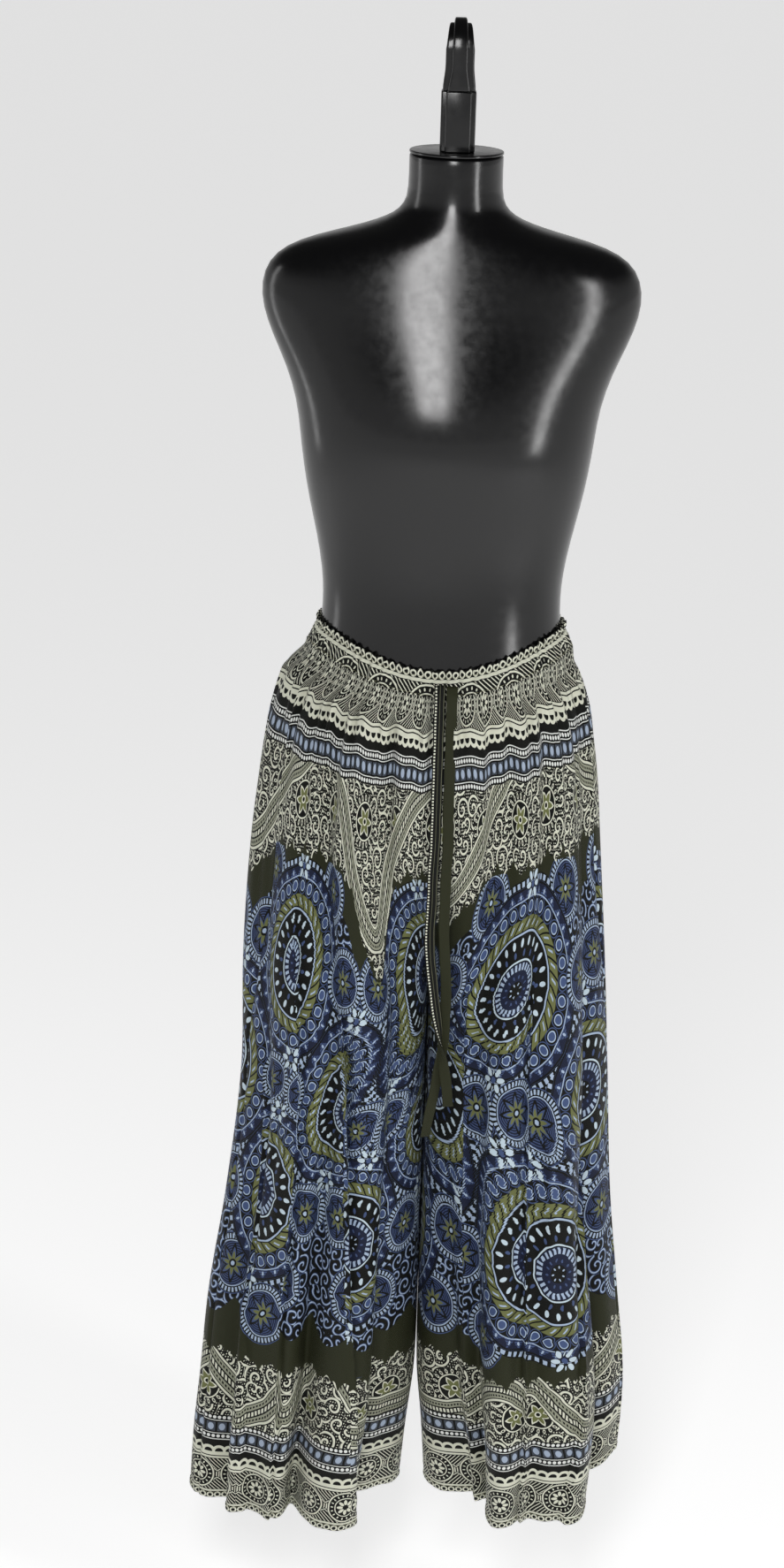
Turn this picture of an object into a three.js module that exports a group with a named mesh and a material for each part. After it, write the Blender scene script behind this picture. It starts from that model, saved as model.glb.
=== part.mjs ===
// Palazzo pants on a hanging dress form. Millimetres, +Z up.
// The origin is where the hook bears on its rail. The front faces -Y, and +X is the wearer's left.

import * as THREE from 'three';

// Levels, measured along Z.
const WAIST_LEVEL = -569;      // top of the waistband at the sides
const OUTSEAM = 984;           // from that level to the hem
const FRONT_DIP = 29;          // the waistband's top lies this much lower at the centre front
const CROTCH_START = 190;      // drop at which the centre seam starts to curve under
const CROTCH_DROP = 430;       // drop at which the two legs part
const LEG_TWIST = 0.08;        // at the hem the left leg hangs further back by this part of X

// Cloth.
const CLOTH = 1.4;             // wall of a leg panel
const SEAM_GAP = 0.3;          // between pieces that are sewn together
const BAND_HEIGHT = 24;        // heading and casing together
const GATHERS_IN_BAND = 64;    // all round
const GATHERS_IN_PANEL = 9;    // each panel, below the band
const GATHER_DEPTH = 2.6;
const GATHER_FADE = 95;        // gathers have run out this far below the band
const FLARE_DROP = 30;         // the cloth leaves the band's shape over this much

// Resolution.
const PANEL_COLUMNS = 36;
const COLUMN_CROWDING = 1.25;  // columns lie closer together near the centre and inseam
const BAND_COLUMNS = 3 * GATHERS_IN_BAND;
const FORM_COLUMNS = 36;

// The outline of the cloth at a drop below the waist level: how far it reaches to the wearer's right
// and left, to the front and back, and how far apart the two legs hang.
const CLOTH_OUTLINE = [
  { drop: 20, right: 129, left: 126, front: 96, back: 92, apart: 0 },
  { drop: 40, right: 147, left: 132, front: 99, back: 100, apart: 0 },
  { drop: 62, right: 156, left: 142, front: 103, back: 108, apart: 0 },
  { drop: 100, right: 167, left: 153, front: 110, back: 117, apart: 0 },
  { drop: 150, right: 176, left: 161, front: 113, back: 124, apart: 0 },
  { drop: 230, right: 185, left: 168, front: 113, back: 127, apart: 0 },
  { drop: 350, right: 191, left: 178, front: 111, back: 128, apart: 0 },
  { drop: 480, right: 191, left: 187, front: 108, back: 129, apart: 0 },
  { drop: 620, right: 205, left: 196, front: 102, back: 131, apart: 0 },
  { drop: 740, right: 222, left: 209, front: 96, back: 133, apart: 0 },
  { drop: 840, right: 230, left: 220, front: 90, back: 135, apart: 2 },
  { drop: 910, right: 236, left: 220, front: 86, back: 137, apart: 15 },
  { drop: 984, right: 239, left: 214, front: 82, back: 139, apart: 26 },
];

// How square a leg's section is: 2 is round. The inner side is squarer where the legs part.
const LEG_CORNER = { outer: 2.1, crotch: 3.4, hem: 2 };
const INSEAM_CROWDING = 0.7;   // how far the cloth of a leg keeps the X that it has at the hip

// How far the hem rises, round the leg.
const HEM_RISE = [
  { place: -1, right: 0, left: 0 },
  { place: -0.6, right: 2, left: 12 },
  { place: -0.2, right: 6, left: 28 },
  { place: 0.12, right: 4, left: 36 },
  { place: 0.24, right: 0, left: 12 },
  { place: 0.36, right: 0, left: 0 },
  { place: 1, right: 0, left: 0 },
];

// Folds that run down each leg. "at" is the place round the leg under the waistband and "ends" the
// place at the hem: 0 is the side, 1 the centre front and inseam, -1 the centre back and inseam.
// "height" is how far a fold stands out under the waistband, and "hem" how far at the hem.
const FOLDS = {
  right: [
    { at: 0.14, ends: 0.12, width: 0.06, height: 3, hem: 6, from: 30 },
    { at: 0.3, ends: 0.26, width: 0.05, height: -4, hem: -26, from: 60 },
    { at: 0.45, ends: 0.44, width: 0.09, height: 6, hem: -18, from: 30 },
    { at: 0.6, ends: 0.61, width: 0.04, height: -4, hem: -44, from: 90 },
    { at: 0.7, ends: 0.76, width: 0.07, height: 7, hem: 22, from: 20 },
    { at: 0.81, ends: 0.89, width: 0.04, height: -5, hem: -44, from: 60 },
    { at: 0.88, ends: 0.96, width: 0.04, height: 4, hem: -34, from: 30 },
    { at: -0.16, ends: -0.14, width: 0.05, height: -4, hem: -14, from: 50 },
    { at: -0.31, ends: -0.28, width: 0.07, height: 6, hem: 16, from: 30 },
    { at: -0.46, ends: -0.43, width: 0.045, height: -5, hem: -20, from: 70 },
    { at: -0.6, ends: -0.58, width: 0.07, height: 7, hem: 17, from: 30 },
    { at: -0.74, ends: -0.72, width: 0.04, height: -5, hem: -18, from: 60 },
    { at: -0.86, ends: -0.84, width: 0.05, height: 5, hem: 8, from: 40 },
  ],
  left: [
    { at: 0.12, ends: 0.06, width: 0.06, height: 3, hem: 8, from: 30 },
    { at: 0.27, ends: 0.23, width: 0.045, height: -4, hem: -46, from: 70 },
    { at: 0.4, ends: 0.41, width: 0.08, height: 5, hem: 18, from: 30 },
    { at: 0.53, ends: 0.56, width: 0.035, height: -5, hem: -10, from: 80 },
    { at: 0.63, ends: 0.67, width: 0.06, height: 6, hem: 14, from: 20 },
    { at: 0.75, ends: 0.79, width: 0.045, height: -5, hem: -44, from: 60 },
    { at: 0.87, ends: 0.9, width: 0.06, height: 4, hem: -46, from: 30 },
    { at: -0.13, ends: -0.15, width: 0.05, height: -4, hem: -16, from: 60 },
    { at: -0.28, ends: -0.29, width: 0.07, height: 6, hem: 14, from: 30 },
    { at: -0.42, ends: -0.44, width: 0.045, height: -5, hem: -19, from: 60 },
    { at: -0.57, ends: -0.59, width: 0.07, height: 7, hem: 18, from: 30 },
    { at: -0.71, ends: -0.73, width: 0.04, height: -5, hem: -16, from: 70 },
    { at: -0.85, ends: -0.86, width: 0.05, height: 5, hem: 9, from: 40 },
  ],
};

// How far each side seam has swung to the front, in degrees.
const SEAM_SWING = { right: 30, left: 16 };

// The waistband's wall at a height below its top edge: how far its inner and outer faces stand off
// the form, and how deep its gathers are.
const BAND_PROFILE = [
  { below: 0, inner: 3.4, outer: 4.6, wave: 1.6 },
  { below: 7, inner: 0.6, outer: 2.6, wave: 0.4 },
  { below: 15, inner: 0.6, outer: 6.4, wave: 0.9 },
  { below: BAND_HEIGHT, inner: 6.2, outer: 11, wave: 1.2 },
];
const PANEL_TOP_OFFSET = 10.2; // outer face of a panel's top edge, off the form

// How far below the band each row of a panel lies.
const PANEL_ROWS = [0, 8, 20, 40, 70, 115, 170, 220, 265, 305, 345, 385, 440, 530, 640, 750, 850];

// The dress form at each level: half width, and depth to the front and back.
const FORM_OUTLINE = [
  { level: -114, half: 43.5, front: 45, back: 45 },
  { level: -116, half: 45, front: 47, back: 47 },
  { level: -148, half: 44.5, front: 48, back: 48 },
  { level: -162, half: 48, front: 50, back: 51 },
  { level: -172, half: 58, front: 54, back: 56 },
  { level: -180, half: 76, front: 57, back: 60 },
  { level: -188, half: 103, front: 60, back: 64 },
  { level: -196, half: 135, front: 62, back: 68 },
  { level: -206, half: 161, front: 65, back: 72 },
  { level: -220, half: 177, front: 69, back: 76 },
  { level: -240, half: 184, front: 74, back: 80 },
  { level: -264, half: 182, front: 80, back: 84 },
  { level: -290, half: 172, front: 89, back: 87 },
  { level: -318, half: 158, front: 100, back: 88 },
  { level: -350, half: 147, front: 110, back: 87 },
  { level: -382, half: 143, front: 114, back: 84 },
  { level: -415, half: 139, front: 108, back: 81 },
  { level: -450, half: 133, front: 96, back: 79 },
  { level: -485, half: 125, front: 88, back: 79 },
  { level: -520, half: 119, front: 85, back: 80 },
  { level: -545, half: 117.5, front: 85, back: 81 },
  { level: -570, half: 118.5, front: 86, back: 83 },
  { level: -595, half: 121.5, front: 88, back: 87 },
  { level: -625, half: 128, front: 91, back: 93 },
  { level: -665, half: 140, front: 95, back: 102 },
  { level: -710, half: 149, front: 98, back: 109 },
  { level: -750, half: 153, front: 98, back: 110 },
  { level: -785, half: 152, front: 95, back: 106 },
  { level: -800, half: 147, front: 90, back: 100 },
  { level: -806, half: 139, front: 83, back: 93 },
];

// The hook and its stem.
const HOOK_INNER = 16;         // radius that takes the rail
const HOOK_THICK = 12;
const HOOK_WIDTH = { base: 31, shoulder: 26, tip: 17 };
const HOOK_SWEEP = 205;        // degrees, from the shank over the top to the tip
const HOOK_CORNERS = 14;
const STEM_TOP = -54;
const STEM_WIDTH = 33;
const STEM_RIB = 24;
const STEM_FRONT = -29;
const STEM_BACK = -2;
const STEM_STEP = 7;           // the side flanges lie this far behind the rib's face
const NECK_CAP_THICK = 3;

// The two ties. Each route runs down the front from the casing, as points [x, y, z].
const TIE = { width: 11, thick: 2.2, steps: 20 };
const DOTTED_TIE_ROUTE = [
  [0, -101, -610], [0, -105, -620], [0, -108, -638], [0, -112, -658], [0, -115, -682],
  [0, -116.5, -710], [0, -117, -740], [0, -117, -770], [-1, -117.5, -800], [-1, -118, -830],
  [-2, -119, -860], [-1, -120, -885], [2, -120.5, -910], [6, -121, -940], [11, -121, -970],
  [16, -121, -1000], [20, -121, -1025], [22, -121, -1046],
];
const PLAIN_TIE_ROUTE = [
  [12, -101, -611], [12, -105.5, -621], [12, -108.5, -638], [12, -112, -658], [12, -114.5, -682],
  [12, -115.5, -710], [12, -116, -740], [13, -116.5, -770], [12, -116.5, -800], [12, -116.5, -830],
  [12, -116.5, -860], [14, -116.5, -890], [16, -116.5, -920], [16, -116.5, -950], [15, -116.5, -980],
  [11, -116.5, -1010], [7, -116.5, -1037], [3, -116.5, -1060], [0, -116.5, -1082],
];

const MATERIALS = {
  cloth: { color: 0x5d6148, roughness: 0.62, metalness: 0 },
  border: { color: 0x8a8d74, roughness: 0.62, metalness: 0 },
  tie: { color: 0x3b3f28, roughness: 0.55, metalness: 0 },
  form: { color: 0x0c0c0d, roughness: 0.16, metalness: 0 },
};

// A smooth curve through one column of a table whose rows lie along another.
function tableValue(rows, key, column, at) {
  const last = rows.length - 1;
  const forwards = rows[last][key] > rows[0][key];
  const reached = (row) => (forwards ? row[key] >= at : row[key] <= at);
  if (reached(rows[0])) return rows[0][column];
  const next = rows.findIndex(reached);
  if (next < 0) return rows[last][column];
  const slope = (i) => {
    const low = rows[Math.max(i - 1, 0)];
    const high = rows[Math.min(i + 1, last)];
    return (high[column] - low[column]) / (high[key] - low[key]);
  };
  const a = rows[next - 1];
  const b = rows[next];
  const span = b[key] - a[key];
  const t = (at - a[key]) / span;
  const rise = b[column] - a[column];
  const startSlope = slope(next - 1) * span;
  const endSlope = slope(next) * span;
  return a[column] + t * (startSlope + t * (3 * rise - 2 * startSlope - endSlope
    + t * (startSlope + endSlope - 2 * rise)));
}

function smoothStep(t) {
  const x = Math.min(Math.max(t, 0), 1);
  return x * x * (3 - 2 * x);
}

// The point of the form's skin at an angle from the wearer's side round to the front, moved out
// by an offset. side is 1 on the wearer's left and -1 on the right.
function formPoint(side, angle, level, offset) {
  const half = tableValue(FORM_OUTLINE, 'level', 'half', level);
  const facing = Math.sin(angle) >= 0 ? 'front' : 'back';
  const depth = tableValue(FORM_OUTLINE, 'level', facing, level);
  const x = Math.cos(angle);
  const y = -Math.sin(angle);
  const normal = new THREE.Vector2(x / half, y / depth).normalize();
  return new THREE.Vector2(side * (half * x + offset * normal.x), depth * y + offset * normal.y);
}

function waistTop(angle) {
  return WAIST_LEVEL - FRONT_DIP * Math.max(Math.sin(angle), 0) ** 3;
}

// The cloth's section round one leg, without its folds. place runs from 0 at the side to 1 at the
// centre front and -1 at the centre back; below the crotch both ends lie at the inseam.
function legSection(side, place, drop) {
  const column = (name) => tableValue(CLOTH_OUTLINE, 'drop', name, drop);
  const outer = column(side > 0 ? 'left' : 'right');
  const inner = column('apart') / 2;
  const front = column('front');
  const back = column('back');
  const parted = smoothStep((drop - CROTCH_START) / (CROTCH_DROP - CROTCH_START));
  const turn = Math.PI * Math.abs(place);
  const facing = place >= 0 ? -1 : 1;
  const hipX = outer * Math.cos(turn / 2);
  const hipY = facing * (place >= 0 ? front : back) * Math.sin(turn / 2);
  const down = Math.max(drop - CROTCH_START, 0) / (OUTSEAM - CROTCH_START);
  const crowded = 2 * Math.acos(Math.sqrt(Math.max(Math.cos(turn / 2), 0)));
  const legTurn = THREE.MathUtils.lerp(turn, crowded, INSEAM_CROWDING);
  const corner = Math.cos(legTurn) > 0
    ? LEG_CORNER.outer
    : THREE.MathUtils.lerp(LEG_CORNER.crotch, LEG_CORNER.hem, down);
  const across = Math.abs(Math.cos(legTurn)) ** corner;
  const along = Math.abs(Math.sin(legTurn)) ** corner;
  const swell = (across + along) ** (-1 / corner);
  const legX = (outer + inner) / 2 + ((outer - inner) / 2) * swell * Math.cos(legTurn);
  const legY = (back - front) / 2 + facing * ((front + back) / 2) * swell * Math.sin(legTurn);
  const x = THREE.MathUtils.lerp(hipX, legX, parted);
  const twist = LEG_TWIST * down;
  return new THREE.Vector2(x, THREE.MathUtils.lerp(hipY, legY, parted) + side * twist * x);
}

function foldHeight(side, place, drop) {
  const down = drop / OUTSEAM;
  let height = 0;
  for (const fold of FOLDS[side > 0 ? 'left' : 'right']) {
    const centre = THREE.MathUtils.lerp(fold.at, fold.ends, down);
    const reach = (place - centre) / fold.width;
    const tall = THREE.MathUtils.lerp(fold.height, fold.hem, down * down);
    height += tall * Math.exp(-reach * reach) * smoothStep((drop - fold.from) / 80);
  }
  return height * (1 - Math.abs(place) ** 16);
}

// The place round the leg of the side seam.
function seamPlace(side, drop) {
  const swing = SEAM_SWING[side > 0 ? 'left' : 'right'];
  const parted = smoothStep((drop - CROTCH_START) / (CROTCH_DROP - CROTCH_START));
  return THREE.MathUtils.lerp(swing / 90, swing / 180, parted);
}

// A point of a panel's outer face. across runs from 0 at the side seam to 1 at the centre.
function panelPoint(side, facing, across, below) {
  const rough = WAIST_LEVEL - waistTop(Math.PI / 4) + BAND_HEIGHT + below;
  const start = seamPlace(side, rough);
  const place = THREE.MathUtils.lerp(start, facing, across);
  const angle = (place * Math.PI) / 2;
  const top = waistTop(angle) - BAND_HEIGHT - SEAM_GAP;
  const lowest = PANEL_ROWS[PANEL_ROWS.length - 1];
  const rise = tableValue(HEM_RISE, 'place', side > 0 ? 'left' : 'right', place);
  const hemZ = WAIST_LEVEL - OUTSEAM + rise;
  const z = THREE.MathUtils.lerp(top, hemZ, below / lowest);
  const drop = WAIST_LEVEL - z;
  const step = 0.002;
  const here = legSection(side, place, drop);
  const tangent = legSection(side, place + step, drop).sub(legSection(side, place - step, drop));
  const normal = new THREE.Vector2(-tangent.y, tangent.x).normalize();
  const wave = Math.sin(2 * Math.PI * GATHERS_IN_PANEL * across);
  const gather = GATHER_DEPTH * wave * (1 - smoothStep(below / GATHER_FADE));
  const flare = smoothStep(below / FLARE_DROP);
  const folded = here.addScaledVector(normal, foldHeight(side, place, drop) + gather * flare);
  const banded = formPoint(1, angle, z, PANEL_TOP_OFFSET);
  const x = Math.max(THREE.MathUtils.lerp(banded.x, folded.x, flare), SEAM_GAP / 2);
  return new THREE.Vector3(side * x, THREE.MathUtils.lerp(banded.y, folded.y, flare), z);
}

// A closed wall from a grid of outer and inner points. grid[row][column] holds { outer, inner }.
// When round is true the last column joins the first.
function wallGeometry(grid, round) {
  const rows = grid.length;
  const columns = grid[0].length;
  const positions = [];
  for (const row of grid) {
    for (const { outer, inner } of row) positions.push(...outer.toArray(), ...inner.toArray());
  }
  const outerAt = (r, c) => 2 * (r * columns + (c % columns));
  const innerAt = (r, c) => outerAt(r, c) + 1;
  const index = [];
  const quad = (a, b, c, d) => index.push(a, b, c, a, c, d);
  const spans = round ? columns : columns - 1;
  for (let r = 0; r + 1 < rows; r++) {
    for (let c = 0; c < spans; c++) {
      quad(outerAt(r, c), outerAt(r + 1, c), outerAt(r + 1, c + 1), outerAt(r, c + 1));
      quad(innerAt(r, c), innerAt(r, c + 1), innerAt(r + 1, c + 1), innerAt(r + 1, c));
    }
  }
  for (let c = 0; c < spans; c++) {
    quad(outerAt(0, c), outerAt(0, c + 1), innerAt(0, c + 1), innerAt(0, c));
    quad(outerAt(rows - 1, c + 1), outerAt(rows - 1, c), innerAt(rows - 1, c), innerAt(rows - 1, c + 1));
  }
  for (let r = 0; !round && r + 1 < rows; r++) {
    quad(outerAt(r, 0), innerAt(r, 0), innerAt(r + 1, 0), outerAt(r + 1, 0));
    const c = columns - 1;
    quad(outerAt(r, c), outerAt(r + 1, c), innerAt(r + 1, c), innerAt(r, c));
  }
  return indexedGeometry(positions, index);
}

// A closed solid through rings of points, with flat ends.
function ringGeometry(rings) {
  const columns = rings[0].length;
  const positions = rings.flat().flatMap((point) => point.toArray());
  const index = [];
  for (let r = 0; r + 1 < rings.length; r++) {
    for (let c = 0; c < columns; c++) {
      const next = (c + 1) % columns;
      const a = r * columns;
      const b = a + columns;
      index.push(a + c, b + c, b + next, a + c, b + next, a + next);
    }
  }
  const ends = [rings[0], rings[rings.length - 1]];
  ends.forEach((ring, end) => {
    const middle = ring.reduce((sum, point) => sum.add(point), new THREE.Vector3());
    positions.push(...middle.divideScalar(columns).toArray());
    const centre = positions.length / 3 - 1;
    const first = end === 0 ? 0 : (rings.length - 1) * columns;
    for (let c = 0; c < columns; c++) {
      const next = (c + 1) % columns;
      if (end === 0) index.push(centre, first + c, first + next);
      else index.push(centre, first + next, first + c);
    }
  });
  return indexedGeometry(positions, index);
}

function indexedGeometry(positions, index) {
  const geometry = new THREE.BufferGeometry();
  geometry.setAttribute('position', new THREE.Float32BufferAttribute(positions, 3));
  geometry.setIndex(index);
  if (signedVolume(positions, index) < 0) {
    for (let i = 0; i < index.length; i += 3) [index[i + 1], index[i + 2]] = [index[i + 2], index[i + 1]];
    geometry.setIndex(index);
  }
  geometry.computeVertexNormals();
  return geometry;
}

// Positive when the faces point out.
function signedVolume(positions, index) {
  const corner = (i) => new THREE.Vector3().fromArray(positions, 3 * index[i]);
  let volume = 0;
  for (let i = 0; i < index.length; i += 3) {
    volume += corner(i).dot(corner(i + 1).cross(corner(i + 2))) / 6;
  }
  return volume;
}

function part(name, geometry, finish) {
  const mesh = new THREE.Mesh(geometry, new THREE.MeshStandardMaterial(MATERIALS[finish]));
  mesh.name = name;
  return mesh;
}

// One leg panel: a wall with its folds, trimmed by half a seam gap along each side.
function makePanel(side, facing) {
  const step = 1e-3;
  const edge = 0.02;
  const grid = PANEL_ROWS.map((below) => {
    const edgeStretch = (across) => panelPoint(side, facing, across + edge, below)
      .distanceTo(panelPoint(side, facing, across, below)) / edge;
    const trimStart = SEAM_GAP / 2 / edgeStretch(0);
    const trimEnd = SEAM_GAP / 2 / edgeStretch(1 - edge);
    const row = [];
    for (let c = 0; c <= PANEL_COLUMNS; c++) {
      const spread = 1 - (1 - c / PANEL_COLUMNS) ** COLUMN_CROWDING;
      const across = THREE.MathUtils.lerp(trimStart, 1 - trimEnd, spread);
      const outer = panelPoint(side, facing, across, below);
      const tangent = panelPoint(side, facing, across + step, below)
        .sub(panelPoint(side, facing, across - step, below));
      const inward = new THREE.Vector3(tangent.y, -tangent.x, 0).normalize();
      const inner = outer.clone().addScaledVector(inward, side * facing * CLOTH);
      inner.x = side * Math.max(side * inner.x, SEAM_GAP / 2);
      row.push({ outer, inner });
    }
    return row;
  });
  return wallGeometry(grid, false);
}

// The waistband: a gathered ring on the form, with a ruffled heading above its stitch line.
function makeWaistband() {
  const grid = BAND_PROFILE.map(({ below, inner, outer, wave }) => {
    const row = [];
    for (let c = 0; c < BAND_COLUMNS; c++) {
      const angle = (2 * Math.PI * c) / BAND_COLUMNS;
      const z = waistTop(angle) - below;
      const shift = wave * Math.sin(angle * GATHERS_IN_BAND);
      const face = (offset) => {
        const point = formPoint(1, angle, z, offset);
        return new THREE.Vector3(point.x, point.y, z);
      };
      const innerShift = inner > BAND_PROFILE[1].inner ? shift : 0;
      row.push({ outer: face(outer + shift), inner: face(inner + innerShift) });
    }
    return row;
  });
  return wallGeometry(grid, true);
}

// A flat sewn tie along its route, with its corners rounded off.
function makeTie(route) {
  const wide = TIE.width / 2;
  const thick = TIE.thick / 2;
  const nip = thick * 0.7;
  const section = [
    [wide, -thick + nip], [wide, thick - nip], [wide - nip, thick], [nip - wide, thick],
    [-wide, thick - nip], [-wide, nip - thick], [nip - wide, -thick], [wide - nip, -thick],
  ].map(([x, y]) => new THREE.Vector2(x, y));
  const extrudePath = new THREE.CatmullRomCurve3(route.map((point) => new THREE.Vector3(...point)));
  return new THREE.ExtrudeGeometry(new THREE.Shape(section), { extrudePath, steps: TIE.steps });
}

function makeTorso() {
  const rings = FORM_OUTLINE.map(({ level }) => {
    const ring = [];
    for (let c = 0; c < FORM_COLUMNS; c++) {
      const point = formPoint(1, (2 * Math.PI * c) / FORM_COLUMNS, level, 0);
      ring.push(new THREE.Vector3(point.x, point.y, level));
    }
    return ring;
  });
  return ringGeometry(rings);
}

// The flat cap that closes the neck, with a rounded rim.
function makeNeckCap() {
  const { half, front } = FORM_OUTLINE[1];
  const rim = 1.2;
  const profile = [
    [0, 0], [half, 0], [half, NECK_CAP_THICK - rim],
    [half - rim, NECK_CAP_THICK], [0, NECK_CAP_THICK],
  ].map(([x, y]) => new THREE.Vector2(x, y));
  const geometry = new THREE.LatheGeometry(profile, FORM_COLUMNS);
  geometry.rotateX(Math.PI / 2);
  geometry.scale(1, front / half, 1);
  geometry.translate(0, 0, FORM_OUTLINE[0].level + SEAM_GAP);
  return geometry;
}

// The block between cap and hook: a front rib with a flange on each side.
function makeStem() {
  const wide = STEM_WIDTH / 2;
  const rib = STEM_RIB / 2;
  const shoulder = STEM_FRONT + STEM_STEP;
  const outline = [
    [-rib, STEM_FRONT], [rib, STEM_FRONT], [rib, shoulder], [wide, shoulder],
    [wide, STEM_BACK], [-wide, STEM_BACK], [-wide, shoulder], [-rib, shoulder],
  ].map(([x, y]) => new THREE.Vector2(x, y));
  const bottom = FORM_OUTLINE[0].level + NECK_CAP_THICK + 2 * SEAM_GAP;
  const depth = STEM_TOP - bottom;
  const geometry = new THREE.ExtrudeGeometry(new THREE.Shape(outline), { depth, bevelEnabled: false });
  geometry.translate(0, 0, bottom);
  return geometry;
}

// The hook: a rounded bar that rises from the stem and curls back over the rail.
function makeHook() {
  const radius = HOOK_INNER + HOOK_THICK / 2;
  const centreZ = -HOOK_INNER;
  const shankRows = 4;
  const arcRows = 16;
  const base = STEM_TOP + SEAM_GAP;
  const stations = [];
  for (let i = 0; i < shankRows; i++) {
    const t = i / shankRows;
    const width = THREE.MathUtils.lerp(HOOK_WIDTH.base, HOOK_WIDTH.shoulder, smoothStep(t * 1.6));
    stations.push({ y: -radius, z: THREE.MathUtils.lerp(base, centreZ, t), lean: 0, width, scale: 1 });
  }
  for (let i = 0; i <= arcRows; i++) {
    const t = i / arcRows;
    const lean = THREE.MathUtils.degToRad(HOOK_SWEEP * t);
    const width = THREE.MathUtils.lerp(HOOK_WIDTH.shoulder, HOOK_WIDTH.tip, t);
    const scale = i === arcRows ? 0.55 : 1;
    stations.push({ y: -radius * Math.cos(lean), z: centreZ + radius * Math.sin(lean), lean, width, scale });
  }
  const rings = stations.map(({ y, z, lean, width, scale }) => {
    const ring = [];
    for (let c = 0; c < HOOK_CORNERS; c++) {
      const angle = (2 * Math.PI * c) / HOOK_CORNERS;
      const round = (value) => Math.sign(value) * Math.abs(value) ** 0.7;
      const across = (width / 2) * scale * round(Math.cos(angle));
      const through = (HOOK_THICK / 2) * scale * round(Math.sin(angle));
      ring.push(new THREE.Vector3(across, y - through * Math.cos(lean), z + through * Math.sin(lean)));
    }
    return ring;
  });
  return ringGeometry(rings);
}

const pants = new THREE.Group();
pants.add(part('front_leg_left', makePanel(1, 1), 'cloth'));
pants.add(part('front_leg_right', makePanel(-1, 1), 'cloth'));
pants.add(part('back_leg_left', makePanel(1, -1), 'cloth'));
pants.add(part('back_leg_right', makePanel(-1, -1), 'cloth'));
pants.add(part('waistband', makeWaistband(), 'border'));
pants.add(part('drawstring_dotted', makeTie(DOTTED_TIE_ROUTE), 'tie'));
pants.add(part('drawstring_plain', makeTie(PLAIN_TIE_ROUTE), 'tie'));

const dressForm = new THREE.Group();
dressForm.add(part('form_torso', makeTorso(), 'form'));
dressForm.add(part('neck_cap', makeNeckCap(), 'form'));
dressForm.add(part('hook_stem', makeStem(), 'form'));
dressForm.add(part('hook', makeHook(), 'form'));

const hangingPants = new THREE.Group();
hangingPants.add(pants, dressForm);

export default hangingPants;
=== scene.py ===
import math

import bpy
import numpy as np
from mathutils import Matrix, Vector


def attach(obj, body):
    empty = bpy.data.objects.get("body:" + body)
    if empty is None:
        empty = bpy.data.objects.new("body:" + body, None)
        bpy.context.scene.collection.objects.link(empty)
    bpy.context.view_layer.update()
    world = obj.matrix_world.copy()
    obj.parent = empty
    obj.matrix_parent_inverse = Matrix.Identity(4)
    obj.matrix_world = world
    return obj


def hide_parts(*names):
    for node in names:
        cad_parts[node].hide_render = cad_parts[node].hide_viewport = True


# Palazzo pants on a hanging dress form. Metres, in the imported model's frame: +Z up, front towards -Y,
# +X towards the wearer's left, and the origin where the hook bears on its rail. The sizes in each
# section are in millimetres.
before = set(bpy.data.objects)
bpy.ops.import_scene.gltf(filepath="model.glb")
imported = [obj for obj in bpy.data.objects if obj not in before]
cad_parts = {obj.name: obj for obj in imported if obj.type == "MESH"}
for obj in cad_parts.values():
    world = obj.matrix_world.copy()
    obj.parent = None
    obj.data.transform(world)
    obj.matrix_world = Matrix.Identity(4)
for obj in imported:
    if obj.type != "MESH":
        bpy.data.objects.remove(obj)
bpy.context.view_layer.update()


# The camera stands 3 m in front of the pants, above the hook, and looks down at them.
CAMERA_PLACE = (-0.0437, -2.9712, 0.2482)
SENSOR_MM = 36
LENS_MM = 71.03
PITCH_DOWN = math.radians(18.5)
ROLL = math.radians(1.685)
camera = bpy.data.objects.new("camera", bpy.data.cameras.new("camera"))
camera.data.sensor_width = SENSOR_MM
camera.data.lens = LENS_MM
camera.matrix_world = (
    Matrix.Translation(CAMERA_PLACE)
    @ Matrix.Rotation(math.pi / 2 - PITCH_DOWN, 4, "X")
    @ Matrix.Rotation(ROLL, 4, "Z")
)
bpy.context.scene.collection.objects.link(camera)
bpy.context.scene.camera = camera


# The ties
# Two narrow strips of the pants' own cloth, folded in and sewn flat, that come out of the casing at
# the centre front and hang free. One is cut from a border with rows of dots, the other is plain.
MM = 0.001
TIE_WIDTH = 11
TIE_THICK = 2.2
TIE_STATIONS = 160
TIE_EDGE_POINTS = 28
TIE_SQUARENESS = 0.42          # of its section: 1 is round, and near 0 is a sharp rectangle
TIE_NARROWING = 0.06           # how much narrower it is sewn in places
DOTTED_TIE_ROUTE = [
    (0, -101, -610), (0, -105, -620), (0, -108, -638), (0, -112, -658), (0, -115, -682),
    (0, -116.5, -710), (0, -117, -740), (0, -117, -770), (-1, -117.5, -800), (-1, -118, -830),
    (-2, -119, -860), (-1, -120, -885), (2, -120.5, -910), (6, -121, -940), (11, -121, -970),
    (16, -121, -1000), (20, -121, -1025), (22, -121, -1046),
]
PLAIN_TIE_ROUTE = [
    (12, -101, -611), (12, -105.5, -621), (12, -108.5, -638), (12, -112, -658), (12, -114.5, -682),
    (12, -115.5, -710), (12, -116, -740), (13, -116.5, -770), (12, -116.5, -800), (12, -116.5, -830),
    (12, -116.5, -860), (14, -116.5, -890), (16, -116.5, -920), (16, -116.5, -950), (15, -116.5, -980),
    (11, -116.5, -1010), (7, -116.5, -1037), (3, -116.5, -1060), (0, -116.5, -1082),
]
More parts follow.
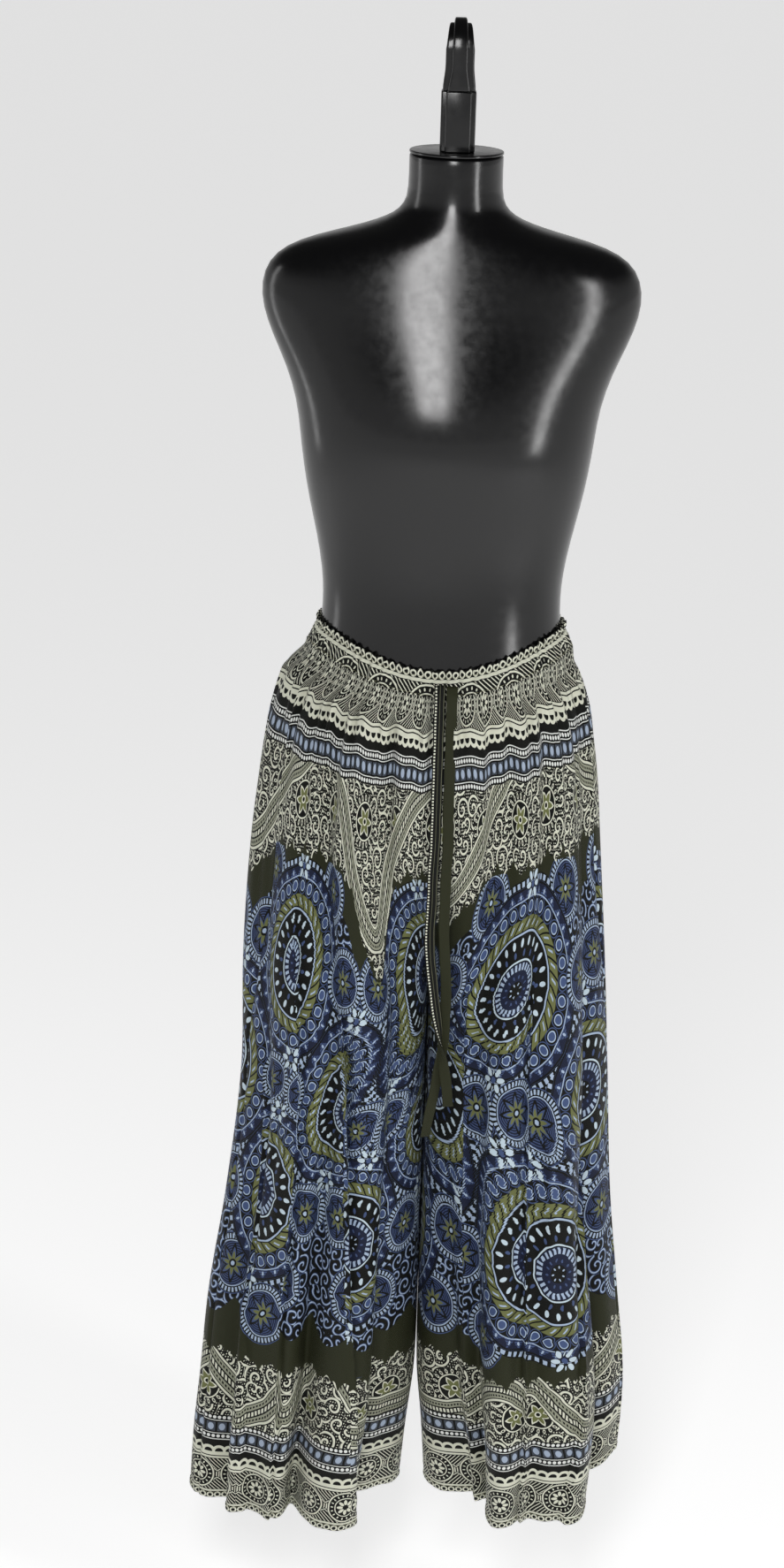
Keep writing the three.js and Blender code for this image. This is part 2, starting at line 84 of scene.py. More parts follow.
# How far each tie has turned about its own line at a share of its length, in degrees.
DOTTED_TIE_TURNS = {"share": [0, 0.3, 0.55, 0.68, 0.8, 0.9, 1], "turn": [0, 3, -8, 12, 40, 165, 178]}
PLAIN_TIE_TURNS = {"share": [0, 0.25, 0.5, 0.7, 0.85, 1], "turn": [0, -6, 8, -14, 10, 28]}

# The dots of the dotted tie, and its thin lines as place and half width, counted across from its middle.
TIE_DOT = {"pitch": 3.2, "size": 1.7, "from_middle": -3.5}
TIE_LINES = [(0.4, 0.22), (4.3, 0.3)]
# The cloth's inks, as red, green and blue out of 255.
OLIVE_GROUND = (40, 42, 25)
DARK = (13, 14, 11)
CREAM = (212, 213, 196)
LINE_GREY = (96, 98, 78)
# How the cloth shines, and its weave in millimetres.
CLOTH_FINISH = {"Specular IOR Level": 0.12, "Sheen Weight": 0.015, "Sheen Roughness": 0.4}
CLOTH_GRAIN = {"grain": 1.6, "depth": 0.16, "threads": 0.55}


def ink(colour):
    """Linear red, green, blue and alpha."""
    shares = [part / 255 for part in colour]
    return [share / 12.92 if share < 0.04 else ((share + 0.055) / 1.055) ** 2.4 for share in shares] + [1]


def plain_material(name, colour, roughness, settings):
    """A new material of one colour. Whatever is drawn next is drawn into it."""
    material = bpy.data.materials.new(name)
    material.use_nodes = True
    Field.tree = material.node_tree
    shader = material.node_tree.nodes["Principled BSDF"]
    shader.inputs["Base Color"].default_value = ink(colour)
    shader.inputs["Roughness"].default_value = roughness
    for socket, value in settings.items():
        shader.inputs[socket].default_value = value
    return material


class Field:
    """A number that varies over the cloth. Sums with it add nodes to the material being drawn."""

    tree = None

    def __init__(self, socket):
        self.socket = socket

    def __add__(self, other):
        return reckon("ADD", self, other)

    def __sub__(self, other):
        return reckon("SUBTRACT", self, other)

    def __mul__(self, other):
        return reckon("MULTIPLY", self, other)

    def __lt__(self, other):
        return reckon("LESS_THAN", self, other)

    def __gt__(self, other):
        return reckon("GREATER_THAN", self, other)

    def __and__(self, other):
        return reckon("MULTIPLY", self, other)

    def __or__(self, other):
        return reckon("MAXIMUM", self, other)

    def __invert__(self):
        return reckon("SUBTRACT", 1, self)

    def __abs__(self):
        return reckon("ABSOLUTE", self)


def add_node(kind, **settings):
    node = Field.tree.nodes.new(kind)
    for key, value in settings.items():
        setattr(node, key, value)
    return node


def feed(socket, value):
    if isinstance(value, Field):
        Field.tree.links.new(value.socket, socket)
    else:
        socket.default_value = value


def reckon(operation, *values):
    node = add_node("ShaderNodeMath", operation=operation)
    for socket, value in zip(node.inputs, values):
        feed(socket, value)
    return Field(node.outputs[0])


def vector(x, y):
    node = add_node("ShaderNodeCombineXYZ")
    feed(node.inputs["X"], x)
    feed(node.inputs["Y"], y)
    return Field(node.outputs[0])


def parts(pair):
    node = add_node("ShaderNodeSeparateXYZ")
    feed(node.inputs[0], pair)
    return Field(node.outputs["X"]), Field(node.outputs["Y"])


def vector_sum(operation, first, second=(0, 0, 0)):
    node = add_node("ShaderNodeVectorMath", operation=operation)
    feed(node.inputs[0], first)
    feed(node.inputs[1], second)
    return Field(node.outputs["Value" if operation == "LENGTH" else "Vector"])


def distance(x, y):
    return vector_sum("LENGTH", vector(x, y))


def read_map(name):
    """The two numbers of a UV map, in millimetres."""
    node = add_node("ShaderNodeUVMap", uv_map=name)
    return parts(vector_sum("MULTIPLY", Field(node.outputs[0]), (1000, 1000, 1000)))


def object_place():
    """The place on the piece, in millimetres."""
    place = Field(add_node("ShaderNodeTexCoord").outputs["Object"])
    return vector_sum("MULTIPLY", place, (1000, 1000, 1000))


def repeat(value, period):
    """How far a value lies from the nearest multiple of a period."""
    return reckon("WRAP", value, period / 2, -period / 2)


def near(value, at, half):
    """1 where a value is within half of at, otherwise 0."""
    return reckon("COMPARE", value, at, half)


def choose(first, second, mask, kind="RGBA"):
    """The first where the mask is 0 and the second where it is 1: two colours, or two vectors."""
    node = add_node("ShaderNodeMix", data_type=kind)
    slots = {"RGBA": (6, 7, 2), "VECTOR": (4, 5, 1)}[kind]
    feed(node.inputs[0], mask)
    feed(node.inputs[slots[0]], first)
    feed(node.inputs[slots[1]], second)
    return Field(node.outputs[slots[2]])


def colour_with(material, colour):
    feed(material.node_tree.nodes["Principled BSDF"].inputs["Base Color"], colour)


def add_grain(material, place, grain, depth, threads=0):
    """Fine relief and an uneven shine. Sizes are in mm; threads is the pitch of a plain weave."""
    shader = material.node_tree.nodes["Principled BSDF"]
    noise = add_node("ShaderNodeTexNoise")
    feed(noise.inputs["Vector"], place)
    noise.inputs["Scale"].default_value = 1 / grain
    uneven = Field(noise.outputs[0])
    relief = uneven
    if threads:
        x, y = parts(place)
        crossing = reckon("SINE", x * (math.tau / threads)) * reckon("SINE", y * (math.tau / threads))
        relief = uneven + crossing * 0.3
    bump = add_node("ShaderNodeBump")
    bump.inputs["Distance"].default_value = depth * MM
    feed(bump.inputs["Height"], relief)
    feed(shader.inputs["Normal"], Field(bump.outputs[0]))
    feed(shader.inputs["Roughness"], uneven * 0.16 + (shader.inputs["Roughness"].default_value - 0.08))


def make_dotted_cloth():
    """Dark cloth with a row of cream dashes by one edge and two thin lines, on its printed side only."""
    material = plain_material("dotted_tie_cloth", DARK, 0.45, CLOTH_FINISH)
    across, along = read_map("Print")
    dashes = near(across, TIE_DOT["from_middle"], TIE_DOT["size"] / 2)
    dashes = dashes & near(repeat(along, TIE_DOT["pitch"]), 0, TIE_DOT["size"] / 2)
    lines = near(across, *TIE_LINES[0]) | near(across, *TIE_LINES[1])
    printed = read_map("Side")[0] > 0
    colour = choose(ink(DARK), ink(LINE_GREY), lines & printed)
    colour = choose(colour, ink(CREAM), dashes & printed)
    colour_with(material, choose(colour, ink(OLIVE_GROUND), ~printed))
    add_grain(material, vector(across, along), **CLOTH_GRAIN)
    return material


def make_plain_cloth():
    material = plain_material("plain_tie_cloth", OLIVE_GROUND, 0.42, CLOTH_FINISH)
    add_grain(material, vector(*read_map("Print")), **CLOTH_GRAIN)
    return material


def smooth_curve(knots, values, at):
    """The value at any place of a curve that runs smoothly through a short table."""
    knots, values = np.asarray(knots, float), np.asarray(values, float)
    if knots[-1] < knots[0]:
        knots, values = knots[::-1], values[::-1]
    before = np.maximum(np.arange(len(knots)) - 1, 0)
    after = np.minimum(np.arange(len(knots)) + 1, len(knots) - 1)
    slopes = (values[after] - values[before]) / (knots[after] - knots[before])
    at = np.clip(at, knots[0], knots[-1])
    low = np.clip(np.searchsorted(knots, at) - 1, 0, len(knots) - 2)
    span = knots[low + 1] - knots[low]
    t = (at - knots[low]) / span
    rise = values[low + 1] - values[low]
    start, end = slopes[low] * span, slopes[low + 1] * span
    return values[low] + t * (start + t * (3 * rise - 2 * start - end + t * (start + end - 2 * rise)))


def mesh_object(name, points, faces, uv_maps):
    """A new object from points in millimetres. Each UV map gives one pair for each corner of a face."""
    mesh = bpy.data.meshes.new(name)
    mesh.from_pydata((np.asarray(points, float) * MM).tolist(), [], [list(face) for face in faces])
    for map_name, pairs in uv_maps.items():
        layer = mesh.uv_layers.new(name=map_name)
        layer.data.foreach_set("uv", np.asarray(pairs, float).ravel())
    piece = bpy.data.objects.new(name, mesh)
    bpy.context.scene.collection.objects.link(piece)
    return piece


def grid_faces(rows, columns, closed=False):
    """Quads between the rows of a grid of points. When closed, the last column joins the first."""
    corner = np.arange(rows * columns).reshape(rows, columns)
    if closed:
        corner = np.hstack([corner, corner[:, :1]])
    quads = np.stack([corner[:-1, :-1], corner[1:, :-1], corner[1:, 1:], corner[:-1, 1:]], axis=-1)
    return quads.reshape(-1, 4).tolist()


def smooth(piece):
    piece.data.polygons.foreach_set("use_smooth", [True] * len(piece.data.polygons))


def along_route(route, stations):
    """Evenly spaced points of the smooth line through a route."""
    route = np.asarray(route, float)
    knots = np.concatenate([[0], np.cumsum(np.linalg.norm(np.diff(route, axis=0), axis=1))])
    at = np.linspace(0, knots[-1], stations)
    return np.stack([smooth_curve(knots, route[:, axis], at) for axis in range(3)], axis=1)


def make_tie(name, node, route, turns):
    line = along_route(route, TIE_STATIONS)
    length = np.linalg.norm(np.diff(line, axis=0), axis=1).sum()
    share = np.linspace(0, 1, TIE_STATIONS)
    turn = np.radians(smooth_curve(turns["share"], turns["turn"], share))
    forward = np.gradient(line, axis=0)
    forward /= np.linalg.norm(forward, axis=1)[:, None]
    side = np.cross(forward, [0, 1, 0])
    side /= np.linalg.norm(side, axis=1)[:, None]
    face = np.cross(side, forward)
    across = side * np.cos(turn)[:, None] + face * np.sin(turn)[:, None]
    through = np.cross(across, forward)
    edge_angle = np.linspace(0, 2 * np.pi, TIE_EDGE_POINTS, endpoint=False)
    flat_x = np.sign(np.cos(edge_angle)) * np.abs(np.cos(edge_angle)) ** TIE_SQUARENESS
    flat_y = np.sign(np.sin(edge_angle)) * np.abs(np.sin(edge_angle)) ** TIE_SQUARENESS
    wide = TIE_WIDTH / 2 * (1 - TIE_NARROWING * np.sin(share * 37) ** 2)
    sewn_ends = np.minimum(1, 0.35 + 12 * np.minimum(share, 1 - share))
    rings = (
        line[:, None]
        + across[:, None] * (flat_x * wide[:, None])[..., None]
        + through[:, None] * (flat_y * TIE_THICK / 2 * sewn_ends[:, None])[..., None]
    )
    columns = TIE_EDGE_POINTS
    points = np.vstack([rings.reshape(-1, 3), rings[0].mean(axis=0), rings[-1].mean(axis=0)])
    faces = grid_faces(TIE_STATIONS, columns, closed=True)
    first, last = len(points) - 2, (TIE_STATIONS - 1) * columns
    for c in range(columns):
        following = (c + 1) % columns
        faces.append([first, c, following])
        faces.append([first + 1, last + following, last + c])
    corners = np.concatenate(faces)
    u = np.concatenate([np.tile(flat_x, TIE_STATIONS) * TIE_WIDTH / 2, [0, 0]]) * MM
    v = np.concatenate([np.repeat(share * length, columns), [0, length]]) * MM
    printed = np.concatenate([np.tile(-flat_y, TIE_STATIONS), [0, 0]])
    maps = {"Print": np.stack([u, v], axis=1)[corners], "Side": np.stack([printed, u], axis=1)[corners]}
    piece = mesh_object(name, points, faces, maps)
    smooth(piece)
    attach(piece, "root")
    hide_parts(node)
    return piece


dotted_tie = make_tie("dotted_tie", "drawstring_dotted", DOTTED_TIE_ROUTE, DOTTED_TIE_TURNS)
dotted_tie.data.materials.append(make_dotted_cloth())
plain_tie = make_tie("plain_tie", "drawstring_plain", PLAIN_TIE_ROUTE, PLAIN_TIE_TURNS)
plain_tie.data.materials.append(make_plain_cloth())


# The dress form
# A moulded torso of glossy black plastic, hollow and light, without head, arms or legs. Its shell is
# one smooth skin, closed at the hips and at the neck, where the cap sits.
FORM_OUTLINE = {
    "level": [-114, -116, -148, -162, -172, -180, -188, -196, -206, -220, -240, -264, -290, -318, -350,
              -382, -415, -450, -485, -520, -545, -570, -595, -625, -665, -710, -750, -785, -800, -806],
    "half": [43.5, 45, 44.5, 48, 58, 76, 103, 135, 161, 177, 184, 182, 172, 158, 147,
             143, 139, 133, 125, 119, 117.5, 118.5, 121.5, 128, 140, 149, 153, 152, 147, 139],
    "front": [45, 47, 48, 50, 54, 57, 60, 62, 65, 69, 74, 80, 89, 100, 110,
              114, 108, 96, 88, 85, 85, 86, 88, 91, 95, 98, 98, 95, 90, 83],
    "back": [45, 47, 48, 51, 56, 60, 64, 68, 72, 76, 80, 84, 87, 88, 87,
             84, 81, 79, 79, 80, 81, 83, 87, 93, 102, 109, 110, 106, 100, 93],
}
FORM_COLUMNS = 72
AT_EDGES = {"limit_method": "ANGLE", "angle_limit": math.radians(45)}
TORSO_EDGE = 2


def only(piece):
    """Selects one piece alone and makes it the active one."""
    bpy.ops.object.select_all(action="DESELECT")
    piece.select_set(True)
    bpy.context.view_layer.objects.active = piece


def open_primitive(name):
    """Names the primitive that was just added and opens it for editing, with all of it selected."""
    piece = bpy.context.object
    piece.name = piece.data.name = name
    only(piece)
    bpy.ops.object.mode_set(mode="EDIT")
    bpy.ops.mesh.select_all(action="SELECT")
    return piece


def close_piece(piece):
    """Turns the faces outwards and puts the piece's place into its mesh."""
    bpy.ops.mesh.select_all(action="SELECT")
    bpy.ops.mesh.normals_make_consistent(inside=False)
    bpy.ops.object.mode_set(mode="OBJECT")
    bpy.ops.object.transform_apply(location=True, rotation=True, scale=True)
    smooth(piece)
    return piece


def finish_with(piece, kind, **settings):
    """Adds a modifier and applies it."""
    only(piece)
    modifier = piece.modifiers.new(kind.title(), kind)
    for key, value in settings.items():
        setattr(modifier, key, value)
    bpy.ops.object.modifier_apply(modifier=modifier.name)


def draw_on(move, middle, grow=(1, 1, 1), turn=0):
    """Extrudes the selected end of a piece to its next ring, then turns and resizes that ring."""
    bpy.ops.mesh.extrude_region_move(TRANSFORM_OT_translate={"value": move})
    if turn:
        bpy.ops.transform.rotate(value=turn, orient_axis="X", center_override=middle)
    if grow != (1, 1, 1):
        bpy.ops.transform.resize(value=grow, center_override=middle)


def make_torso():
    levels = np.array(FORM_OUTLINE["level"]) * MM
    halves = np.array(FORM_OUTLINE["half"]) * MM
    front, back = np.array(FORM_OUTLINE["front"]) * MM, np.array(FORM_OUTLINE["back"]) * MM
    depths, middles = (front + back) / 2, (back - front) / 2
    bpy.ops.mesh.primitive_circle_add(vertices=FORM_COLUMNS, radius=1, fill_type="NGON")
    torso = open_primitive("form_torso_skin")
    bpy.ops.transform.resize(value=(halves[0], depths[0], 1), center_override=(0, 0, 0))
    bpy.ops.transform.translate(value=(0, middles[0], levels[0]))
    for i in range(1, len(levels)):
        fall = (0, middles[i] - middles[i - 1], levels[i] - levels[i - 1])
        grow = (halves[i] / halves[i - 1], depths[i] / depths[i - 1], 1)
        draw_on(fall, (0, middles[i], levels[i]), grow)
    close_piece(torso)
    finish_with(torso, "BEVEL", width=TORSO_EDGE * MM, segments=2, **AT_EDGES)
    finish_with(torso, "SUBSURF", levels=1, render_levels=1)
    smooth(torso)
    return torso


def make_gloss_black():
    """Black plastic with a faint moulded ripple."""
    material = plain_material("gloss_black", (8, 8, 9), 0.2, {"Specular IOR Level": 0.5})
    add_grain(material, object_place(), grain=9, depth=0.03)
    return material


torso = make_torso()
gloss_black = make_gloss_black()
torso.data.materials.append(gloss_black)
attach(torso, "root")
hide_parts("form_torso")


# The neck cap
# A flat moulded disc, glued into the neck, with a softly rounded rim.
NECK_CAP_THICK = 3
NECK_CAP_HALF = 45
NECK_CAP_DEPTH = 47
NECK_CAP_BASE = -113.7
NECK_CAP_EDGE = 1.2


def make_neck_cap():
    middle = (NECK_CAP_BASE + NECK_CAP_THICK / 2) * MM
    bpy.ops.mesh.primitive_cylinder_add(
        vertices=96, radius=NECK_CAP_HALF * MM, depth=NECK_CAP_THICK * MM, location=(0, 0, middle)
    )
    cap = open_primitive("neck_cap_disc")
    bpy.ops.transform.resize(value=(1, NECK_CAP_DEPTH / NECK_CAP_HALF, 1), center_override=(0, 0, middle))
    close_piece(cap)
    finish_with(cap, "BEVEL", width=NECK_CAP_EDGE * MM, segments=4, **AT_EDGES)
    smooth(cap)
    bpy.ops.object.shade_smooth_by_angle(angle=math.radians(30))
    return cap


neck_cap = make_neck_cap()
neck_cap.data.materials.append(gloss_black)
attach(neck_cap, "root")
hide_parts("neck_cap")


# The stem and the hook
# One moulding of black plastic: a block with a rib down its front and a flange on each side, and a
# hook that goes on from it, with the same rib and flanges drawn in towards the tip.
STEM_BASE = -110.4
STEM_TOP = -54
STEM_FLANGE = {"width": 33, "front": -22, "back": -2}
STEM_RIB = {"width": 24, "front": -29, "back": -20}
STEM_EDGE = 1.4
SHANK_STEPS = 8
SHOULDER_STEPS = 5             # of those, the ones that draw its width in
HOOK_RADIUS = 16
HOOK_SWEEP = 205
HOOK_STEPS = 26
HOOK_EDGE = 1.6
HOOK_ROUNDING = 0.32           # of a bar's thickness, at its four long edges
HOOK_FLANGE = {"base": 31, "shoulder": 27, "tip": 15, "thick": 7, "out": 3.5}
HOOK_RIB = {"base": 21, "shoulder": 15, "tip": 9, "thick": 9, "out": 7.4}


def make_block(name, width, front, back, low, high):
    bpy.ops.mesh.primitive_cube_add(size=1, location=(0, (front + back) / 2 * MM, (low + high) / 2 * MM))
    block = open_primitive(name)
    middle = bpy.context.object.location
    bpy.ops.transform.resize(
        value=(width * MM, (back - front) * MM, (high - low) * MM), center_override=middle
    )
    return close_piece(block)


def make_swept_bar(name, bar):
    """A bar of the hook: up the shank, then over the rail, narrowing to a rounded tip."""
    radius = (HOOK_RADIUS + bar["out"]) * MM
    centre = -HOOK_RADIUS * MM
    base = (STEM_TOP + 0.3) * MM
    bpy.ops.mesh.primitive_plane_add(size=1, location=(0, -radius, base))
    hook_bar = open_primitive(name)
    start = (0, -radius, base)
    bpy.ops.transform.resize(value=(bar["base"] * MM, bar["thick"] * MM, 1), center_override=start)
    bpy.ops.mesh.bevel(offset=HOOK_ROUNDING * bar["thick"] * MM, segments=4, affect="VERTICES")
    width = bar["base"]
    for i in range(1, SHANK_STEPS + 1):
        eased = min(i / SHOULDER_STEPS, 1)
        wanted = bar["base"] + (bar["shoulder"] - bar["base"]) * eased * eased * (3 - 2 * eased)
        height = base + (centre - base) * i / SHANK_STEPS
        draw_on((0, 0, (centre - base) / SHANK_STEPS), (0, -radius, height), (wanted / width, 1, 1))
        width = wanted
    lean = math.radians(HOOK_SWEEP) / HOOK_STEPS
    for i in range(1, HOOK_STEPS + 1):
        before, after = lean * (i - 1), lean * i
        middle = (0, -radius * math.cos(after), centre + radius * math.sin(after))
        move = (0, middle[1] + radius * math.cos(before), middle[2] - centre - radius * math.sin(before))
        wanted = bar["shoulder"] + (bar["tip"] - bar["shoulder"]) * (i / HOOK_STEPS) ** 0.8
        draw_on(move, middle, (wanted / width, 1, 1), turn=lean)
        width = wanted
    close_piece(hook_bar)
    finish_with(hook_bar, "BEVEL", width=HOOK_EDGE * MM, segments=3, **AT_EDGES)
    return hook_bar


def join_solids(name, first, second):
    """Unites two overlapping closed solids into one and shades it."""
    finish_with(first, "BOOLEAN", operation="UNION", object=second, solver="EXACT")
    bpy.data.objects.remove(second)
    first.name = first.data.name = name
    only(first)
    smooth(first)
    bpy.ops.object.shade_smooth_by_angle(angle=math.radians(35))
    return first


stem_sides = (STEM_BASE, STEM_TOP)
stem_flange = make_block("stem_flange", *STEM_FLANGE.values(), *stem_sides)
stem_rib = make_block("stem_rib", *STEM_RIB.values(), *stem_sides)
for block in (stem_flange, stem_rib):
    finish_with(block, "BEVEL", width=STEM_EDGE * MM, segments=3)
stem = join_solids("stem_block", stem_flange, stem_rib)
hook = join_solids(
    "hook_bar", make_swept_bar("hook_flange", HOOK_FLANGE), make_swept_bar("hook_rib", HOOK_RIB)
)
for piece, node in ((stem, "hook_stem"), (hook, "hook")):
    piece.data.materials.append(gloss_black)
    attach(piece, "root")
    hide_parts(node)


# The leg panels
# Four wide pieces of light satin-woven rayon, two in front and two behind, gathered into the casing
# and left to fall in long soft folds. Plain seams join them at the sides, the centre and the inside
# leg, with the edges turned in. The hem is a narrow roll.
WAIST_LEVEL = -569             # top of the waistband at the sides
OUTSEAM = 984                  # from that level to the hem
FRONT_DIP = 29
BAND_HEIGHT = 24
SEAM_GAP = 0.3
CROTCH_START = 190
CROTCH_DROP = 430
LEG_TWIST = 0.08
FLARE_DROP = 30
PANEL_TOP_OFFSET = 10.2
PANEL_LENGTH = 850             # the rows run from 0 under the band to this at the hem
CLOTH_LENGTH = 950             # of real cloth along those rows
CLOTH_THICK = 1.2
CLOTH_OUTLINE = {
    "drop": [20, 40, 62, 100, 150, 230, 350, 480, 620, 740, 840, 910, 984],
    "right": [129, 147, 156, 167, 176, 185, 191, 191, 205, 222, 230, 236, 239],
    "left": [126, 132, 142, 153, 161, 168, 178, 187, 196, 209, 220, 220, 214],
    "front": [96, 99, 103, 110, 113, 113, 111, 108, 102, 96, 90, 86, 82],
    "back": [92, 100, 108, 117, 124, 127, 128, 129, 131, 133, 135, 137, 139],
    "apart": [0, 0, 0, 0, 0, 0, 0, 0, 0, 0, 2, 15, 26],
}
LEG_CORNER = {"outer": 2.1, "crotch": 3.4, "hem": 2}
INSEAM_CROWDING = 0.7
HEM_RISE = {
    "place": [-1, -0.6, -0.2, 0.12, 0.24, 0.36, 1],
    "right": [0, 2, 6, 4, 0, 0, 0],
    "left": [0, 12, 28, 36, 12, 0, 0],
}
SEAM_SWING = {"right": 30, "left": 16}
# The long folds. Each row gives the fold's place under the band and at the hem, its width, its height
# at the top and at the hem, and the drop where it starts. A place round the leg is 0 at the side, 1 at
# the centre front and -1 at the centre back.
FOLDS = {
    "right": [
        (0.14, 0.12, 0.06, 3, 6, 30),
        (0.3, 0.26, 0.05, -4, -26, 60),
        (0.45, 0.44, 0.09, 6, -18, 30),
        (0.6, 0.61, 0.04, -4, -44, 90),
        (0.7, 0.76, 0.07, 7, 22, 20),
        (0.81, 0.89, 0.04, -5, -44, 60),
        (0.88, 0.96, 0.04, 4, -34, 30),
        (-0.16, -0.14, 0.05, -4, -14, 50),
        (-0.31, -0.28, 0.07, 6, 16, 30),
        (-0.46, -0.43, 0.045, -5, -20, 70),
        (-0.6, -0.58, 0.07, 7, 17, 30),
        (-0.74, -0.72, 0.04, -5, -18, 60),
        (-0.86, -0.84, 0.05, 5, 8, 40),
    ],
    "left": [
        (0.12, 0.06, 0.06, 3, 8, 30),
        (0.27, 0.23, 0.045, -4, -46, 70),
        (0.4, 0.41, 0.08, 5, 18, 30),
        (0.53, 0.56, 0.035, -5, -10, 80),
        (0.63, 0.67, 0.06, 6, 14, 20),
        (0.75, 0.79, 0.045, -5, -44, 60),
        (0.87, 0.9, 0.06, 4, -46, 30),
        (-0.13, -0.15, 0.05, -4, -16, 60),
        (-0.28, -0.29, 0.07, 6, 14, 30),
        (-0.42, -0.44, 0.045, -5, -19, 60),
        (-0.57, -0.59, 0.07, 7, 18, 30),
        (-0.71, -0.73, 0.04, -5, -16, 70),
        (-0.85, -0.86, 0.05, 5, 9, 40),
    ],
}
# Soft creases of the cloth between the long folds: place under the band and at the crease's lower end,
# width, height, and the drops between which it shows. A steep one falls off sharply on the side of the
# centre.
CREASES = {
    "right": [
        (0.36, 0.35, 0.020, 3.6, 34, 250, True), (0.5, 0.49, 0.016, -3.1, 30, 330, False),
        (0.555, 0.56, 0.018, 4.5, 30, 210, True), (0.65, 0.66, 0.022, 3.4, 60, 420, False),
        (0.76, 0.79, 0.016, 4.2, 30, 300, True), (0.85, 0.87, 0.018, 3.1, 60, 260, False),
        (0.93, 0.93, 0.016, 3.6, 32, 190, True), (0.22, 0.2, 0.022, -2.8, 120, 520, False),
        (0.4, 0.36, 0.026, -3.4, 380, 760, False), (0.54, 0.52, 0.020, 3.1, 470, 900, False),
        (0.68, 0.69, 0.018, -3.6, 420, 800, True), (0.34, 0.33, 0.020, 2.8, 640, 940, False),
        (-0.1, -0.1, 0.022, 3.1, 34, 260, True), (-0.22, -0.2, 0.018, -3.4, 40, 420, False),
        (-0.38, -0.36, 0.020, 3.9, 30, 240, True), (-0.52, -0.5, 0.018, 3.1, 30, 330, False),
        (-0.67, -0.64, 0.022, -3.1, 60, 480, False), (-0.8, -0.79, 0.018, 3.6, 32, 280, True),
        (-0.92, -0.91, 0.018, 2.8, 50, 200, False), (-0.36, -0.34, 0.022, -3.1, 520, 900, False),
        (-0.53, -0.52, 0.020, 3.4, 460, 820, True), (-0.66, -0.65, 0.020, 3.1, 600, 940, False),
    ],
    "left": [
        (0.2, 0.18, 0.020, 3.4, 34, 280, True), (0.33, 0.32, 0.018, -3.1, 40, 380, False),
        (0.46, 0.46, 0.018, 4.2, 30, 230, True), (0.58, 0.585, 0.016, 3.6, 30, 300, True),
        (0.69, 0.71, 0.022, -3.4, 50, 460, False), (0.81, 0.83, 0.018, 3.6, 34, 340, True),
        (0.93, 0.94, 0.016, 3.1, 40, 180, False), (0.49, 0.49, 0.022, 3.6, 420, 820, True),
        (0.36, 0.35, 0.024, -3.4, 520, 900, False), (0.61, 0.63, 0.018, -3.4, 560, 940, False),
        (0.72, 0.73, 0.020, 3.1, 440, 760, True), (0.3, 0.29, 0.020, 3.1, 680, 950, False),
        (-0.08, -0.09, 0.020, 3.4, 34, 300, True), (-0.2, -0.21, 0.022, -3.1, 60, 380, False),
        (-0.35, -0.36, 0.018, 3.9, 30, 260, True), (-0.49, -0.5, 0.020, 3.1, 40, 420, False),
        (-0.64, -0.65, 0.018, -3.6, 50, 300, False), (-0.78, -0.79, 0.020, 3.4, 30, 240, True),
        (-0.92, -0.92, 0.018, 2.8, 44, 210, False), (-0.33, -0.34, 0.022, 3.4, 560, 930, True),
        (-0.5, -0.51, 0.020, -3.4, 480, 800, False), (-0.64, -0.66, 0.022, 3.1, 620, 940, False),
    ],
}
# Laps, where the cloth folds sharply under itself. Place at the waist and at the hem, how deep the step
# is, how far the cloth takes to come out again, the drop where it starts, and then how much of the
# print the fold hides across and how far it slips down. Less than 0 is print that shows twice.
LAPS = {
    "right": [
        (0.44, 0.52, 7, 0.06, 215, 26, -10), (0.54, 0.8, 15, 0.1, 330, 64, -30),
        (0.14, 0.4, 7, 0.06, 400, 34, 12), (-0.3, -0.36, 5, 0.05, 240, 30, -14),
        (-0.55, -0.64, 8, 0.06, 320, 52, 18),
    ],
    "left": [
        (0.53, 0.605, 8, 0.07, 285, -32, 16), (0.07, 0.45, 9, 0.06, 440, 44, -26),
        (0.8, 0.84, 6, 0.05, 300, 38, 20), (-0.34, -0.38, 6, 0.05, 260, 36, -16),
        (-0.62, -0.7, 8, 0.06, 340, -30, 18),
    ],
}
# Gathers under the casing: how many across a panel, how deep, and how far down they reach.
GATHERS = [(9, 2.6, 150), (13.5, 1.6, 110), (22, 1.2, 64), (34, 0.7, 34)]
GATHERED_ROWS = 2.6            # the gathers draw the rows of the print up and down by this much
GATHER_AT_BAND = 0.35          # of their depth, right under the band
PRINT_WIDTH_ROW = 620          # the row whose width the print is laid out to
# The hem, by the height above it: the narrow roll, the groove that the stitches draw in, the rounded
# lower edge, and the small ripple of the cloth.
HEM_ROLL = {"proud": 0.8, "height": 6, "fade": 1.5}
HEM_GROOVE = {"deep": 0.5, "height": 7.8, "half": 0.9}
HEM_EDGE = {"round": 1.0, "half": 1.1}
HEM_RIPPLE = {"long": 9.5, "short": 4.1, "deep": 0.7, "reach": 14}
GATHERED_LENGTH = 110          # the rows lie close together down to here, and again in the roll
HEM_ROLL_LENGTH = 10
PANEL_COLUMNS = 142
PANEL_WIDTH = 360              # about as wide as a panel shows, to place its columns
EVEN_COLUMNS_START = 7.5
INSIDE_LEG_CROWDING = 1.25
SEAM_ROLL_COLUMNS = (0, 1, 2.2, 3.8, 6)     # mm from the seam, where the cloth turns in
SEAM_DEPTH = 2.4
SEAM_SPREAD = 2.3


def ease(t):
    t = np.clip(t, 0, 1)
    return t * t * (3 - 2 * t)


def mix(a, b, t):
    return a + (b - a) * t


